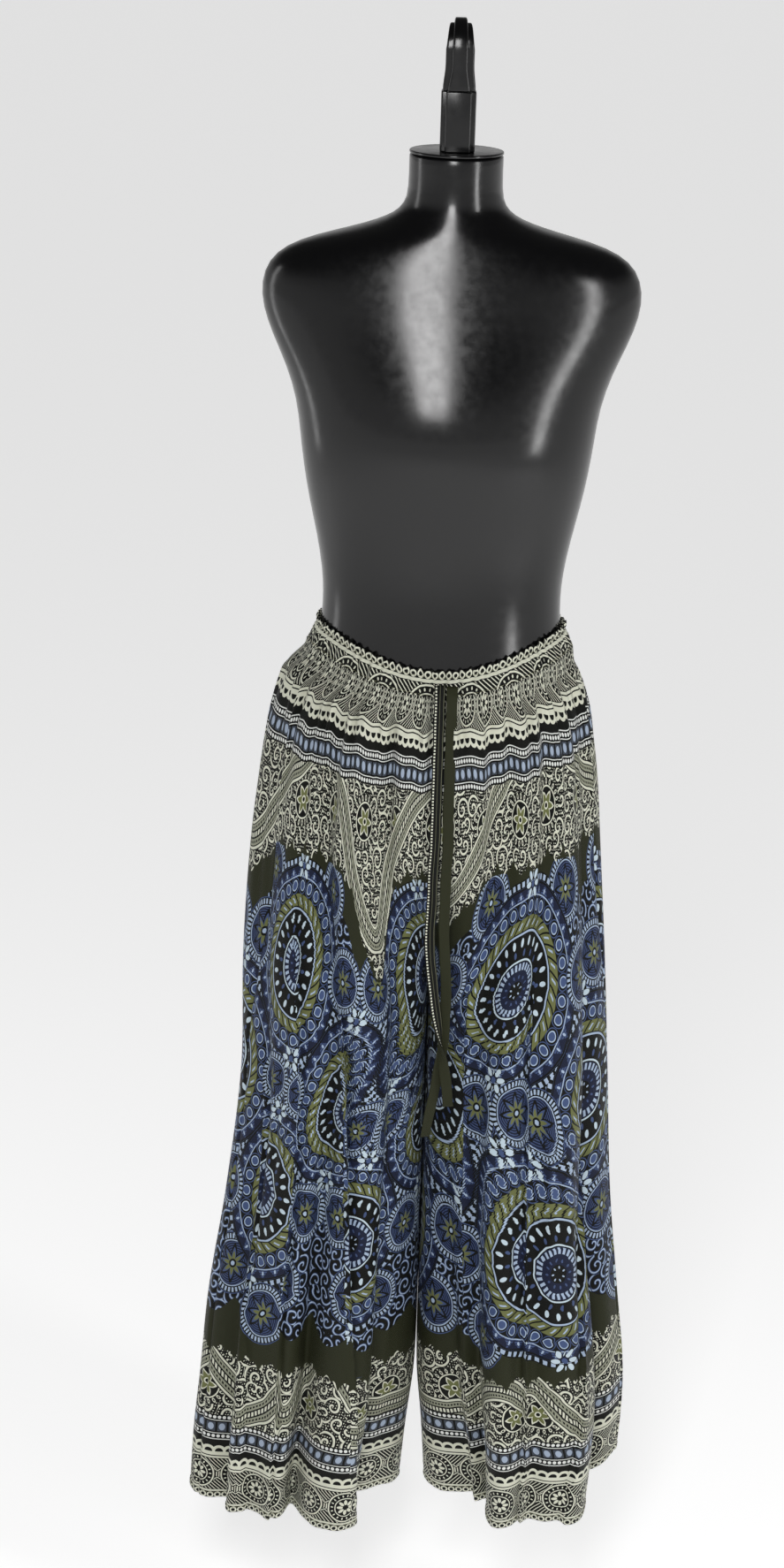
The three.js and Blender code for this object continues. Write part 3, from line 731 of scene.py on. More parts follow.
def form_face(angle, level, offset):
    """X and Y of the dress form's skin at an angle from the side towards the front, moved out."""
    half = smooth_curve(FORM_OUTLINE["level"], FORM_OUTLINE["half"], level)
    front = smooth_curve(FORM_OUTLINE["level"], FORM_OUTLINE["front"], level)
    back = smooth_curve(FORM_OUTLINE["level"], FORM_OUTLINE["back"], level)
    depth = np.where(np.sin(angle) >= 0, front, back)
    x, y = np.cos(angle), -np.sin(angle)
    out = np.hypot(x / half, y / depth)
    return half * x + offset * x / half / out, depth * y + offset * y / depth / out


def waist_top(angle):
    return WAIST_LEVEL - FRONT_DIP * np.maximum(np.sin(angle), 0) ** 3


def parted(drop):
    """0 above the crotch and 1 where the cloth goes round each leg by itself."""
    return ease((drop - CROTCH_START) / (CROTCH_DROP - CROTCH_START))


def leg_section(side, place, drop):
    """X and Y of the cloth round one leg without its folds, with X counted from the centre."""
    outline = {key: smooth_curve(CLOTH_OUTLINE["drop"], CLOTH_OUTLINE[key], drop) for key in CLOTH_OUTLINE}
    outer, inner = outline["left" if side > 0 else "right"], outline["apart"] / 2
    front, back = outline["front"], outline["back"]
    turn = np.pi * np.abs(place)
    facing = np.where(place >= 0, -1, 1)
    hip_x = outer * np.cos(turn / 2)
    hip_y = facing * np.where(place >= 0, front, back) * np.sin(turn / 2)
    down = np.maximum(drop - CROTCH_START, 0) / (OUTSEAM - CROTCH_START)
    crowded = 2 * np.arccos(np.sqrt(np.clip(np.cos(turn / 2), 0, 1)))
    leg_turn = mix(turn, crowded, INSEAM_CROWDING)
    inside_corner = mix(LEG_CORNER["crotch"], LEG_CORNER["hem"], down)
    corner = np.where(np.cos(leg_turn) > 0, LEG_CORNER["outer"], inside_corner)
    swell = (np.abs(np.cos(leg_turn)) ** corner + np.abs(np.sin(leg_turn)) ** corner) ** (-1 / corner)
    leg_x = (outer + inner) / 2 + (outer - inner) / 2 * swell * np.cos(leg_turn)
    leg_y = (back - front) / 2 + facing * (front + back) / 2 * swell * np.sin(leg_turn)
    x = mix(hip_x, leg_x, parted(drop))
    return x, mix(hip_y, leg_y, parted(drop)) + side * LEG_TWIST * down * x


def fold_height(side, place, drop):
    """How far the long folds and the creases stand out."""
    name = "left" if side > 0 else "right"
    down = drop / OUTSEAM
    height = np.zeros_like(drop)
    for at, ends, width, tall, hem, start in FOLDS[name]:
        reach = (place - mix(at, ends, down)) / width
        height += mix(tall, hem, down * down) * np.exp(-reach * reach) * ease((drop - start) / 80)
    for at, ends, width, tall, top, bottom, steep in CREASES[name]:
        run = np.clip((drop - top) / (bottom - top), 0, 1)
        reach = (place - mix(at, ends, run)) / width
        if steep:
            reach = np.where(reach * np.sign(at) > 0, reach / 0.4, reach)
        height += tall * np.exp(-reach * reach) * ease(run / 0.25) * ease((1 - run) / 0.5)
    for past, growth, (_, _, deep, reach, *_) in laps_near(side, place, drop):
        height -= deep * growth * ease((past + 0.002) / 0.004) * np.exp(-np.maximum(past, 0) / reach)
    return height * (1 - np.abs(place) ** 16)


def laps_near(side, place, drop):
    """For each lap, how far past its line a place lies, how much it has grown by there, and its row."""
    for lap in LAPS["left" if side > 0 else "right"]:
        at, ends, start = lap[0], lap[1], lap[4]
        past = (place - mix(at, ends, drop / OUTSEAM)) * np.sign(at)
        yield np.where(place * np.sign(at) > 0, past, -1), ease((drop - start) / 130), lap


def seam_place(side, drop):
    """The side seam's place. Its swing is in degrees, of 90 to the centre, or of 180 round one leg."""
    swing = SEAM_SWING["left" if side > 0 else "right"]
    return mix(swing / 90, swing / 180, parted(drop))


def panel_place(side, facing, across, below):
    """The place round the leg, from 0 at the side seam to 1 at the centre, and roughly the drop."""
    rough = WAIST_LEVEL - waist_top(math.pi / 4) + BAND_HEIGHT + below
    return mix(seam_place(side, rough), facing, across), rough


def panel_face(side, facing, across, below):
    """Points of a panel's outer face."""
    place, _ = panel_place(side, facing, across, below)
    angle = place * np.pi / 2
    top = waist_top(angle) - BAND_HEIGHT - SEAM_GAP
    rise = smooth_curve(HEM_RISE["place"], HEM_RISE["left" if side > 0 else "right"], place)
    z = mix(top, WAIST_LEVEL - OUTSEAM + rise, below / PANEL_LENGTH)
    drop = WAIST_LEVEL - z
    step = 0.002
    x, y = leg_section(side, place, drop)
    x_after, y_after = leg_section(side, place + step, drop)
    x_before, y_before = leg_section(side, place - step, drop)
    normal_x, normal_y = y_before - y_after, x_after - x_before
    long = np.hypot(normal_x, normal_y)
    gather = np.zeros_like(drop)
    uneven = across + 0.012 * np.sin(11 * across + 1.3 * facing) + 0.007 * np.sin(29 * across + side)
    for count, deep, reach in GATHERS:
        wave = np.sin(2 * np.pi * count * uneven + 0.4 * count * (count > 9))
        gather += deep * wave * (1 - ease(below / reach))
    flare = ease(below / FLARE_DROP)
    out = fold_height(side, place, drop) + gather * mix(GATHER_AT_BAND, 1, flare)
    folded_x, folded_y = x + out * normal_x / long, y + out * normal_y / long
    band_x, band_y = form_face(angle, z, PANEL_TOP_OFFSET + GATHER_AT_BAND * gather)
    x, y = mix(band_x, folded_x, flare), mix(band_y, folded_y, flare)
    return np.stack([side * np.maximum(x, SEAM_GAP / 2), y, z], axis=-1)


def panel_rows():
    """Where the rows lie: close together at the gathers and at the hem's roll."""
    hem_start = PANEL_LENGTH - HEM_ROLL_LENGTH
    gathered = np.linspace(0, GATHERED_LENGTH, 50, endpoint=False)
    falling = np.linspace(GATHERED_LENGTH, hem_start, 186, endpoint=False)
    hem = np.linspace(hem_start, PANEL_LENGTH, 11)
    return np.concatenate([gathered, falling, hem])


def panel_columns():
    """Where the columns lie across: close together along both seams, and crowded at the inside leg."""
    roll = np.array(SEAM_ROLL_COLUMNS) / PANEL_WIDTH
    middle = 1 - (1 - np.linspace(0, 1, PANEL_COLUMNS)) ** INSIDE_LEG_CROWDING
    start = EVEN_COLUMNS_START / PANEL_WIDTH
    middle = middle[(middle > start) & (middle < 1 - start)]
    trim = SEAM_GAP / 2 / PANEL_WIDTH
    return np.clip(np.concatenate([roll, middle, 1 - roll[::-1]]), trim, 1 - trim)


def outward(points, side, facing):
    """The level direction that leads out of the cloth at each point of a panel's grid."""
    along = np.gradient(points, axis=1)
    out = np.stack([-along[..., 1], along[..., 0], np.zeros_like(along[..., 0])], axis=-1)
    return out * side * facing / np.linalg.norm(out, axis=-1)[..., None]


def make_panel_grid(side, facing):
    across, below = np.meshgrid(panel_columns(), panel_rows())
    points = panel_face(side, facing, across, below)
    steps = np.linalg.norm(np.diff(points, axis=1), axis=2)
    arc = np.concatenate([np.zeros((len(points), 1)), np.cumsum(steps, axis=1)], axis=1)
    from_seam = np.minimum(arc, arc[:, -1:] - arc)
    above_hem = (PANEL_LENGTH - below) * CLOTH_LENGTH / PANEL_LENGTH
    sink = SEAM_DEPTH * np.exp(-((from_seam / SEAM_SPREAD) ** 2))
    hem_roll = HEM_ROLL["proud"] * (1 - ease((above_hem - HEM_ROLL["height"]) / HEM_ROLL["fade"]))
    groove = (above_hem - HEM_GROOVE["height"]) / HEM_GROOVE["half"]
    hem_roll -= HEM_GROOVE["deep"] * np.exp(-(groove**2))
    hem_roll -= HEM_EDGE["round"] * np.exp(-((above_hem / HEM_EDGE["half"]) ** 2))
    points = points + outward(points, side, facing) * (hem_roll - sink)[..., None]
    points[..., 0] = side * np.maximum(side * points[..., 0], 0.1)
    ripple = np.sin(arc / HEM_RIPPLE["long"] + side) + 0.6 * np.sin(arc / HEM_RIPPLE["short"] + facing)
    points[..., 2] += HEM_RIPPLE["deep"] * ripple * np.exp(-above_hem / HEM_RIPPLE["reach"])
    whole = arc[np.argmin(np.abs(panel_rows() - PRINT_WIDTH_ROW)), -1]
    print_u = whole * arc / arc[:, -1:]
    print_v = BAND_HEIGHT + below * CLOTH_LENGTH / PANEL_LENGTH
    drawn_up = np.sin(27 * across + 2 * side + facing) + 0.6 * np.sin(61 * across + side)
    print_v += GATHERED_ROWS * drawn_up * ease(below / 30) * np.exp(-below / 160)
    return points, across, below, print_u, print_v


# The print
# It is laid out on the flat cloth, in millimetres: across from each panel's side seam, and down from
# the waist. Both ends carry the same cream border, and blue medallions fill the middle.
PRINT_LENGTH = BAND_HEIGHT + CLOTH_LENGTH
PRINT_FULLNESS = 1.25          # the flat cloth is this much wider than it shows
BOTTOM_SQUEEZE = 1.15
MEDALLION_PITCH = (300, 266)   # across and down; the rows between are moved by half
ROSETTES = ((32, 133), (118, 0), (66, 49))   # the last kind only where no medallion is
MEDALLION_REACH = 108
ROSETTE_REACH = 35
MEDALLION_GROWTH = 1.06
DISC_MIDDLES = (470, 195)      # down the cloth: the middle of those shown, and how far from it
ROSETTE_MIDDLES = (486, 262)
FIELD_START = 234
FIELD_MARGIN = 20              # how far its figures may stand out above that
SCROLL_NET = {"cell": 21, "turns": 15}
FIELD_SCALLOP = {"width": 75, "deep": 30, "below": 52}     # how the field's scrolls end
NAVY = (26, 32, 54)
MID_BLUE = (67, 83, 121)
PALE_BLUE = (164, 181, 204)
BOX_BLUE = (160, 173, 192)
BOX_GREY = (66, 72, 82)
BEAD_WHITE = (222, 224, 220)
ROPE = (106, 110, 68)
WHITE_BLUE = (192, 208, 218)
RIBBON_GREY = (146, 148, 130)
# Rings from the outside in: form, radius, half width and how many go round, then the ink.
DISC_RINGS = [
    ("line", 54, 54, 0, DARK), ("dashes", 104, 2.6, 70, PALE_BLUE), ("line", 99.6, 0.6, 0, MID_BLUE),
    ("line", 93.5, 5, 0, NAVY), ("peaks", 93.5, 4.8, 34, MID_BLUE), ("threads", 93.5, 5, 0, NAVY),
    ("leaves", 92.5, 2.4, 34, PALE_BLUE), ("line", 99, 1, 0, DARK),
    ("line", 88, 0.6, 0, PALE_BLUE), ("scallops", 79, 8.6, 28, MID_BLUE), ("scallops", 79, 7.6, 28, DARK),
    ("scallops", 79, 5.6, 28, PALE_BLUE), ("scallops", 79, 4.4, 28, MID_BLUE), ("line", 64, 6.4, 0, ROPE),
    ("twists", 64, 2.9, 6, PALE_BLUE), ("twists", 64, 6.4, 0, DARK), ("line", 56, 2.6, 0, DARK),
    ("line", 56.3, 1, 0, PALE_BLUE), ("leaves", 47.5, 4.4, 22, WHITE_BLUE),
    ("leaves", 37.5, 3.4, 16, MID_BLUE), ("line", 30.6, 0.9, 0, WHITE_BLUE), ("line", 23.6, 5.2, 0, NAVY),
    ("dashes", 24.4, 3.4, 26, PALE_BLUE), ("line", 9, 9.6, 0, NAVY), ("leaves", 14.5, 2, 12, MID_BLUE),
    ("line", 3, 7, 0, DARK), ("leaves", 7, 1.6, 7, PALE_BLUE),
]
ROSETTE_RINGS = [
    ("line", 17, 18, 0, DARK), ("dashes", 30.2, 2.6, 40, PALE_BLUE), ("line", 34.3, 0.5, 0, MID_BLUE),
    ("line", 12, 13.4, 0, NAVY), ("threads", 12, 13, 0, MID_BLUE), ("line", 25.6, 0.6, 0, PALE_BLUE),
    ("star", 23.5, 13, 8, DARK), ("star", 18.5, 12.5, 8, MID_BLUE), ("star", 14, 9, 8, ROPE),
    ("line", 0, 5, 0, DARK), ("line", 0, 2.6, 0, PALE_BLUE),
]
# A sprig of small leaves stands on the upper and the lower edge of each medallion.
SPRIG_PLACE = (0, 99)
SPRIG_RINGS = [
    ("leaves", 10.5, 6.2, 7, DARK), ("leaves", 10.5, 5.2, 7, WHITE_BLUE), ("line", 0, 3.4, 0, MID_BLUE),
]
# Stripes of a ribbon from its middle out: where, half width, how often it repeats, and the ink.
RIBBON_LINES = [
    (7, 8.4, 0, DARK), (12.8, 1.3, 0, CREAM), (7.2, 3.1, 0, RIBBON_GREY), (7.2, 1.1, 4, DARK),
    (0, 2.3, 4.6, CREAM),
]
# Rows of the border, counted from the cloth's outer edge in: a row of loops and a line, the chain, a
# wide bar with arches on it, boxes between two rows of beads, and the lace with its flowers. Loops and
# arches are given as pitch, middle, radius and half width, and lines as middle and half width.
EDGE_LOOPS = (8.5, 4.4, 3.1, 0.9)
EDGE_LINE = (10, 1.4)
CHAIN_ROW = {"middle": 34, "half": 22, "pitch": 50}
BAR = (61.5, 4.6)
BAR_GROOVE = (60.4, 0.7)
ARCHES = (13, 66.5, 6.8, 1.9)
ARCHES_START = 66
BEAD_ROWS = (88.5, 115)
BEAD = {"pitch": 6, "radius": 2.2}
BEAD_LINES = [(84.2, 0.6), (92.8, 0.5), (110.6, 0.5)]
BOX_ROW = {"middle": 101.7, "pitch": 14}
LACE_START = 119
LACE_END = 198
FLOWER_ROW = {"middle": 158, "pitch": 92, "radius": 29}
CHAIN_RINGS = [
    ("line", 0, 22, 0, DARK), ("line", 20.4, 0.9, 0, CREAM), ("leaves", 16.4, 1.6, 18, CREAM),
    ("line", 12.6, 0.6, 0, CREAM), ("leaves", 7, 3.6, 8, CREAM), ("line", 0, 1.8, 0, DARK),
]
LACE_FLOWER = [
    ("leaves", 25, 3.4, 20, CREAM), ("leaves", 25, 1.7, 20, DARK), ("line", 20, 0.9, 0, CREAM),
    ("star", 17.5, 9, 6, CREAM), ("star", 14.5, 8, 6, ROPE), ("line", 0, 4.4, 0, CREAM),
    ("line", 0, 2.6, 0, DARK),
]


def ring_shape(radius, turn, form, at, half, count):
    """Where one ring of a round figure takes ink."""
    if form == "line":
        return near(radius, at, half)
    if form == "threads":
        return near(radius, at, half) & near(repeat(radius + turn * 3, 2.6), 0, 0.45)
    if form == "twists":
        return near(radius, at, half) & near(repeat(turn * at + radius + count, at * math.tau / 28), 0, 1.3)
    step = math.tau / count
    if form == "star":
        return radius + abs(repeat(turn, step)) * (2 * half / step) < at
    along = repeat(turn, step) * radius
    if form == "scallops":
        return distance(along, radius - at) < half
    if form == "leaves":
        return distance(along * 1.8, radius - at) < half
    if form == "dashes":
        return near(radius, at, half) & near(along, 0, 0.27 * step * at)
    return near(radius, at, half) & (abs(along) * 1.2 + radius < at + half)


def draw_rings(colour, rings, radius, turn):
    for form, at, half, count, ring_ink in rings:
        colour = choose(colour, ink(ring_ink), ring_shape(radius, turn, form, at, half, count))
    return colour


def scrolls(u, v, cell, turns):
    """Small spirals, one in each cell of an uneven net."""
    place = vector(u * (1 / cell), v * (1 / cell))
    net = add_node("ShaderNodeTexVoronoi", voronoi_dimensions="2D")
    feed(net.inputs["Vector"], place)
    net.inputs["Scale"].default_value = 1
    net.inputs["Randomness"].default_value = 0.8
    x, y = parts(vector_sum("SUBTRACT", place, Field(net.outputs["Position"])))
    start = parts(Field(net.outputs["Color"]))[0] * math.tau
    swing = reckon("SINE", reckon("ARCTAN2", y, x) + Field(net.outputs["Distance"]) * turns + start)
    return swing


def shorter(first, second):
    """The shorter of two vectors, and where that is the second."""
    nearer = reckon("LESS_THAN", vector_sum("LENGTH", second), vector_sum("LENGTH", first))
    return choose(first, second, nearer, "VECTOR"), nearer


def draw_medallions(v, waves, inside):
    """Blue medallions with star rosettes between them, over a ground of small scrolls."""
    pitch_u, pitch_v = MEDALLION_PITCH
    across, down = read_map("Medallion")
    first = vector(repeat(across, pitch_u), repeat(down, pitch_v))
    second = vector(repeat(across + pitch_u / 2, pitch_u), repeat(down + pitch_v / 2, pitch_v))
    x, y = parts(shorter(first, second)[0])
    radius = distance(x, y)
    fill_end = abs(reckon("SINE", across * (math.pi / FIELD_SCALLOP["width"]))) * -FIELD_SCALLOP["deep"]
    fill_end = fill_end + FIELD_START + FIELD_SCALLOP["below"]
    ground = choose(ink(DARK), ink(MID_BLUE), waves > 0.35)
    ground = choose(ground, ink(PALE_BLUE), waves > 0.85)
    ground = choose(ink(OLIVE_GROUND), ground, fill_end - inside < 0)
    in_disc_row = near(v - y * MEDALLION_GROWTH, *DISC_MIDDLES)
    disc = draw_rings(ink(DARK), DISC_RINGS, radius, reckon("ARCTAN2", y, x))
    colour = choose(ground, disc, (radius < MEDALLION_REACH) & in_disc_row)
    from_middle = vector(abs(x), abs(y))
    first, second, third = [vector_sum("SUBTRACT", from_middle, (*place, 0)) for place in ROSETTES]
    up_or_down = reckon("SIGN", y)
    place, is_third = shorter(shorter(first, second)[0], third)
    x, y = parts(place)
    radius = distance(x, y)
    shown = (radius < ROSETTE_REACH) & near(v - y * up_or_down * MEDALLION_GROWTH, *ROSETTE_MIDDLES)
    rosette = draw_rings(ink(DARK), ROSETTE_RINGS, radius, reckon("ARCTAN2", y, x))
    colour = choose(colour, rosette, shown & ~(is_third & in_disc_row))
    x, y = parts(vector_sum("SUBTRACT", from_middle, (*SPRIG_PLACE, 0)))
    sprig = draw_rings(colour, SPRIG_RINGS, distance(x, y), reckon("ARCTAN2", y, x))
    return choose(colour, sprig, in_disc_row)


def draw_chain(colour, u, edge):
    """A band of linked round figures and crossing ribbons, with hatching between."""
    middle, half, pitch = CHAIN_ROW.values()
    x, y = repeat(u, pitch), edge - middle
    radius = distance(x, y)
    cross = abs(abs(repeat(u + pitch / 2, pitch)) * 0.75 - abs(y))
    band = near(edge, middle, half)
    colour = choose(colour, ink(CREAM), band & near(repeat(u + edge, 5), 0, 0.7))
    colour = choose(colour, ink(DARK), band & (cross < 6.4))
    ladder = near(repeat(u, 3), 0, 0.7) & (cross < 2.4)
    colour = choose(colour, ink(CREAM), band & (near(cross, 4.6, 0.7) | ladder))
    turn = reckon("ARCTAN2", y, x)
    for form, at, half, count, ring_ink in CHAIN_RINGS:
        shape = ring_shape(radius, turn, form, at, half, count)
        colour = choose(colour, ink(ring_ink), band & shape)
    return colour


def loop_row(u, edge, pitch, middle, radius, half):
    return near(distance(repeat(u, pitch), edge - middle), radius, half)


def draw_border(colour, u, v, waves, edge, lower):
    """The cream border that both ends of the cloth carry, at a distance from the outer edge."""
    lace_end = abs(reckon("SINE", u * (math.pi / 36))) * 12 + abs(reckon("SINE", u * (math.pi / 12))) * 6
    lace = edge - lower - lace_end < LACE_END
    colour = choose(colour, ink(DARK), lace)
    stipple = (distance(repeat(u + v * 0.3, 3.4), repeat(v, 3.4)) < 0.8) & (waves < -0.5)
    colour = choose(colour, ink(CREAM), lace & ((waves > 0.55) | stipple))
    ribbon_top, ribbon_bottom = read_map("Ribbon")
    ribbon = reckon("MINIMUM", abs(ribbon_top), abs(ribbon_bottom))
    in_lace = lace & (edge > LACE_START)
    row_x, row_y = repeat(u, FLOWER_ROW["pitch"]), edge - FLOWER_ROW["middle"]
    flower, turn = distance(row_x, row_y), reckon("ARCTAN2", row_y, row_x)
    blossom = draw_rings(ink(DARK), LACE_FLOWER, flower, turn)
    colour = choose(colour, blossom, in_lace & (flower < FLOWER_ROW["radius"]))
    for at, half, count, ring_ink in RIBBON_LINES:
        stripe = near(ribbon, at, half)
        if count:
            stripe = stripe & near(repeat(u, count), 0, 0.3 * count)
        colour = choose(colour, ink(ring_ink), in_lace & stripe)
    colour = choose(colour, ink(DARK), edge < LACE_START)
    colour = draw_chain(colour, u, edge)
    rows = loop_row(u, edge, *EDGE_LOOPS) | near(edge, *EDGE_LINE)
    rows = rows | (near(edge, *BAR) & ~near(edge, *BAR_GROOVE))
    rows = rows | (loop_row(u, edge, *ARCHES) & (edge > ARCHES_START))
    colour = choose(colour, ink(CREAM), rows)
    first, last = BEAD_ROWS
    beads = distance(repeat(u, BEAD["pitch"]), repeat(edge - first, last - first)) < BEAD["radius"]
    beads = beads & near(edge, (first + last) / 2, 16)
    for line in BEAD_LINES:
        beads = beads | near(edge, *line)
    colour = choose(colour, ink(BEAD_WHITE), beads)
    box_u, box_v = repeat(u, BOX_ROW["pitch"]), edge - BOX_ROW["middle"]
    colour = choose(colour, ink(BOX_GREY), near(box_u, 0, 5.6) & near(box_v, 0, 6.4))
    return choose(colour, ink(BOX_BLUE), distance(box_u * 1.25, box_v) < 4.8)


def make_print(name, roughness, dulled):
    material = plain_material(name, OLIVE_GROUND, roughness, CLOTH_FINISH)
    u, v = read_map("Print")
    lower = read_map("Lace")[0]
    squeezed = reckon("MINIMUM", v, reckon("SUBTRACT", PRINT_LENGTH, v) * BOTTOM_SQUEEZE)
    waves = scrolls(u, v, **SCROLL_NET)
    colour = draw_medallions(v, waves, squeezed - lower)
    colour = choose(ink(OLIVE_GROUND), colour, squeezed - lower > FIELD_START - FIELD_MARGIN)
    colour = draw_border(colour, u, v, waves, squeezed, lower)
    if dulled:
        colour = choose(colour, ink(OLIVE_GROUND), dulled)
    colour_with(material, colour)
    add_grain(material, vector(u, v), **CLOTH_GRAIN)
    return material


print_outside = make_print("print_outside", 0.45, 0)
print_inside = make_print("print_inside", 0.6, 0.6)


# Where a medallion's middle lies on each panel, and how much larger the cut shows it.
MEDALLION_START = {
    (1, 1): (235, 340, 1.13), (-1, 1): (109, 327, 1.03),
    (1, -1): (318, 352, 1.08), (-1, -1): (36, 455, 1.06),
}
# Where the ribbons of the top and bottom borders run, and how far the top border's lace reaches
# down below its usual edge.
TOP_RIBBON = {
    (1, 1): ([0, 60, 120, 183, 261, 339, 377], [156, 128, 96, 78, 126, 228, 250]),
    (-1, 1): ([0, 47, 123, 170, 238, 289, 330, 360], [170, 132, 95, 140, 283, 186, 130, 112]),
    (1, -1): ([0, 70, 150, 230, 300, 360, 412], [156, 96, 84, 176, 236, 150, 96]),
    (-1, -1): ([0, 60, 130, 210, 300, 380, 444], [170, 226, 150, 86, 92, 180, 232]),
}
BOTTOM_RIBBON = {
    (1, 1): ([0, 50, 110, 175, 235, 300, 377], [806, 846, 866, 858, 800, 842, 866]),
    (-1, 1): (
        [0, 40, 80, 120, 157, 174, 210, 240, 300, 360],
        [800, 842, 862, 846, 805, 844, 800, 762, 838, 862],
    ),
    (1, -1): ([0, 60, 130, 200, 260, 330, 412], [806, 852, 864, 806, 790, 858, 846]),
    (-1, -1): ([0, 70, 140, 210, 280, 360, 444], [800, 858, 850, 780, 846, 866, 812]),
}
LACE_DROPS = {
    (1, 1): (345, 62, 44), (-1, 1): (240, 112, 34), (1, -1): (296, 40, 50), (-1, -1): (52, 46, 44),
}
LACE_DROP_END = 520            # how far down the lace may reach, and over what length it fades
LACE_DROP_FADE = 80
SLIP_FADE = 300                # a lap slips the print less and less over this length above the hem
BORDER_SLIP = 0.4              # of the medallions' slip


def ribbon_distance(table, across, down):
    """How far each point lies from a ribbon's middle line, below it when above 0."""
    line = smooth_curve(*table, across)
    slope = (smooth_curve(*table, across + 1) - smooth_curve(*table, across - 1)) / 2
    return (down - line) / np.sqrt(1 + (slope / PRINT_FULLNESS) ** 2)


def print_maps(side, facing, face, across, below, print_u, print_v):
    """The UV maps that the print reads, in metres, at the corners of each face. A lap hides cloth."""
    across, below = across.ravel()[face].mean(axis=1), below.ravel()[face].mean(axis=1)
    place, drop = panel_place(side, facing, across, below)
    hidden, slipped = np.zeros_like(place), np.zeros_like(place)
    for past, growth, (*_, hides, slips) in laps_near(side, place, drop):
        hidden += hides * growth * (past > 0)
        slipped += slips * growth * (past > 0)
    print_u = print_u.ravel()[face] + hidden[:, None]
    print_v = print_v.ravel()[face]
    slipped_v = print_v + slipped[:, None] * ease((PRINT_LENGTH - print_v) / SLIP_FADE)
    key = (side, facing)
    start_u, start_v, larger = MEDALLION_START[key]
    middle, reach, width = LACE_DROPS[key]
    lower = reach * np.exp(-(((print_u - middle) / width) ** 2))
    lower = lower * ease((LACE_DROP_END - print_v) / LACE_DROP_FADE)
    maps = {
        "Print": (print_u * PRINT_FULLNESS, mix(print_v, slipped_v, BORDER_SLIP)),
        "Medallion": ((print_u * PRINT_FULLNESS - start_u) / larger, (slipped_v - start_v) / larger),
        "Ribbon": (
            ribbon_distance(TOP_RIBBON[key], print_u, print_v),
            ribbon_distance(BOTTOM_RIBBON[key], print_u, print_v),
        ),
        "Lace": (lower, np.zeros_like(lower)),
    }
    return {name: np.stack(pair, axis=-1) * MM for name, pair in maps.items()}


# Where a panel lies on the map that its bake uses: each face's corner and size, and the rim's strip.
BAKE_OUTER = ((0.005, 0.005), (0.62, 0.99))
BAKE_INNER = ((0.64, 0.005), (0.355, 0.99))
BAKE_RIM = (0.629, 0.629, 0.635, 0.635)


def cloth_shell(name, points, face, flip, maps):
    """A thin shell of cloth with its outer face on a grid of points, and a rim all round."""
    rows, columns = points.shape[:2]
    out = np.cross(np.gradient(points, axis=1), np.gradient(points, axis=0))
    out *= (1 if flip else -1) / np.linalg.norm(out, axis=-1)[..., None]
    inner = points - CLOTH_THICK * out
    inner[..., 0] = np.sign(points[..., 0]) * np.maximum(np.abs(inner[..., 0]), 0.1)
    count = rows * columns
    corner = np.arange(count).reshape(rows, columns)
    rim = np.concatenate([corner[0, :-1], corner[:-1, -1], corner[-1, :0:-1], corner[:0:-1, 0]])
    following = np.roll(rim, -1)
    rim_faces = np.stack([rim, following, following + count, rim + count], axis=1)
    way, back_way = (slice(None, None, -1), slice(None)) if flip else (slice(None), slice(None, None, -1))
    faces = np.concatenate([face[:, way], face[:, back_way] + count, rim_faces[:, back_way]])
    corner_maps = {}
    for key, pairs in maps.items():
        at_points = np.zeros((count, 2))
        at_points[face.ravel()] = pairs.reshape(-1, 2)
        on_rim = at_points[rim_faces % count]
        all_round = np.concatenate([pairs[:, way], pairs[:, back_way], on_rim[:, back_way]])
        corner_maps[key] = all_round.reshape(-1, 2)
    across, down = np.meshgrid(np.linspace(0, 1, columns), np.linspace(1, 0, rows))
    flat = np.stack([across, down], axis=-1).reshape(-1, 2)
    both_faces = [np.array(start) + flat * size for start, size in (BAKE_OUTER, BAKE_INNER)]
    bake = np.concatenate(both_faces)[faces.ravel()]
    steps = (np.arange(len(rim_faces))[:, None] + [1, 0, 0, 1]) / len(rim_faces)
    strip_u = np.broadcast_to(BAKE_RIM, steps.shape)
    strip = np.stack([strip_u, 0.005 + 0.99 * steps], axis=-1)
    bake[-strip.size // 2:] = strip.reshape(-1, 2)
    corner_maps["OFBake"] = bake
    both_walls = np.concatenate([points.reshape(-1, 3), inner.reshape(-1, 3)])
    shell = mesh_object(name, both_walls, faces, corner_maps)
    smooth(shell)
    shell.data.materials.append(print_outside)
    shell.data.materials.append(print_inside)
    inside_out = (np.arange(len(faces)) >= len(face)) & (np.arange(len(faces)) < 2 * len(face))
    shell.data.polygons.foreach_set("material_index", inside_out.astype(int))
    return shell


PANELS = {
    "front_leg_left": (1, 1), "front_leg_right": (-1, 1),
    "back_leg_left": (1, -1), "back_leg_right": (-1, -1),
}
for node, (side, facing) in PANELS.items():
    grid, *on_cloth = make_panel_grid(side, facing)
    face = np.array(grid_faces(*grid.shape[:2]))
    maps = print_maps(side, facing, face, *on_cloth)
    panel = cloth_shell(node.replace("leg", "panel"), grid, face, side * facing > 0, maps)
    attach(panel, "root")
    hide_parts(node)


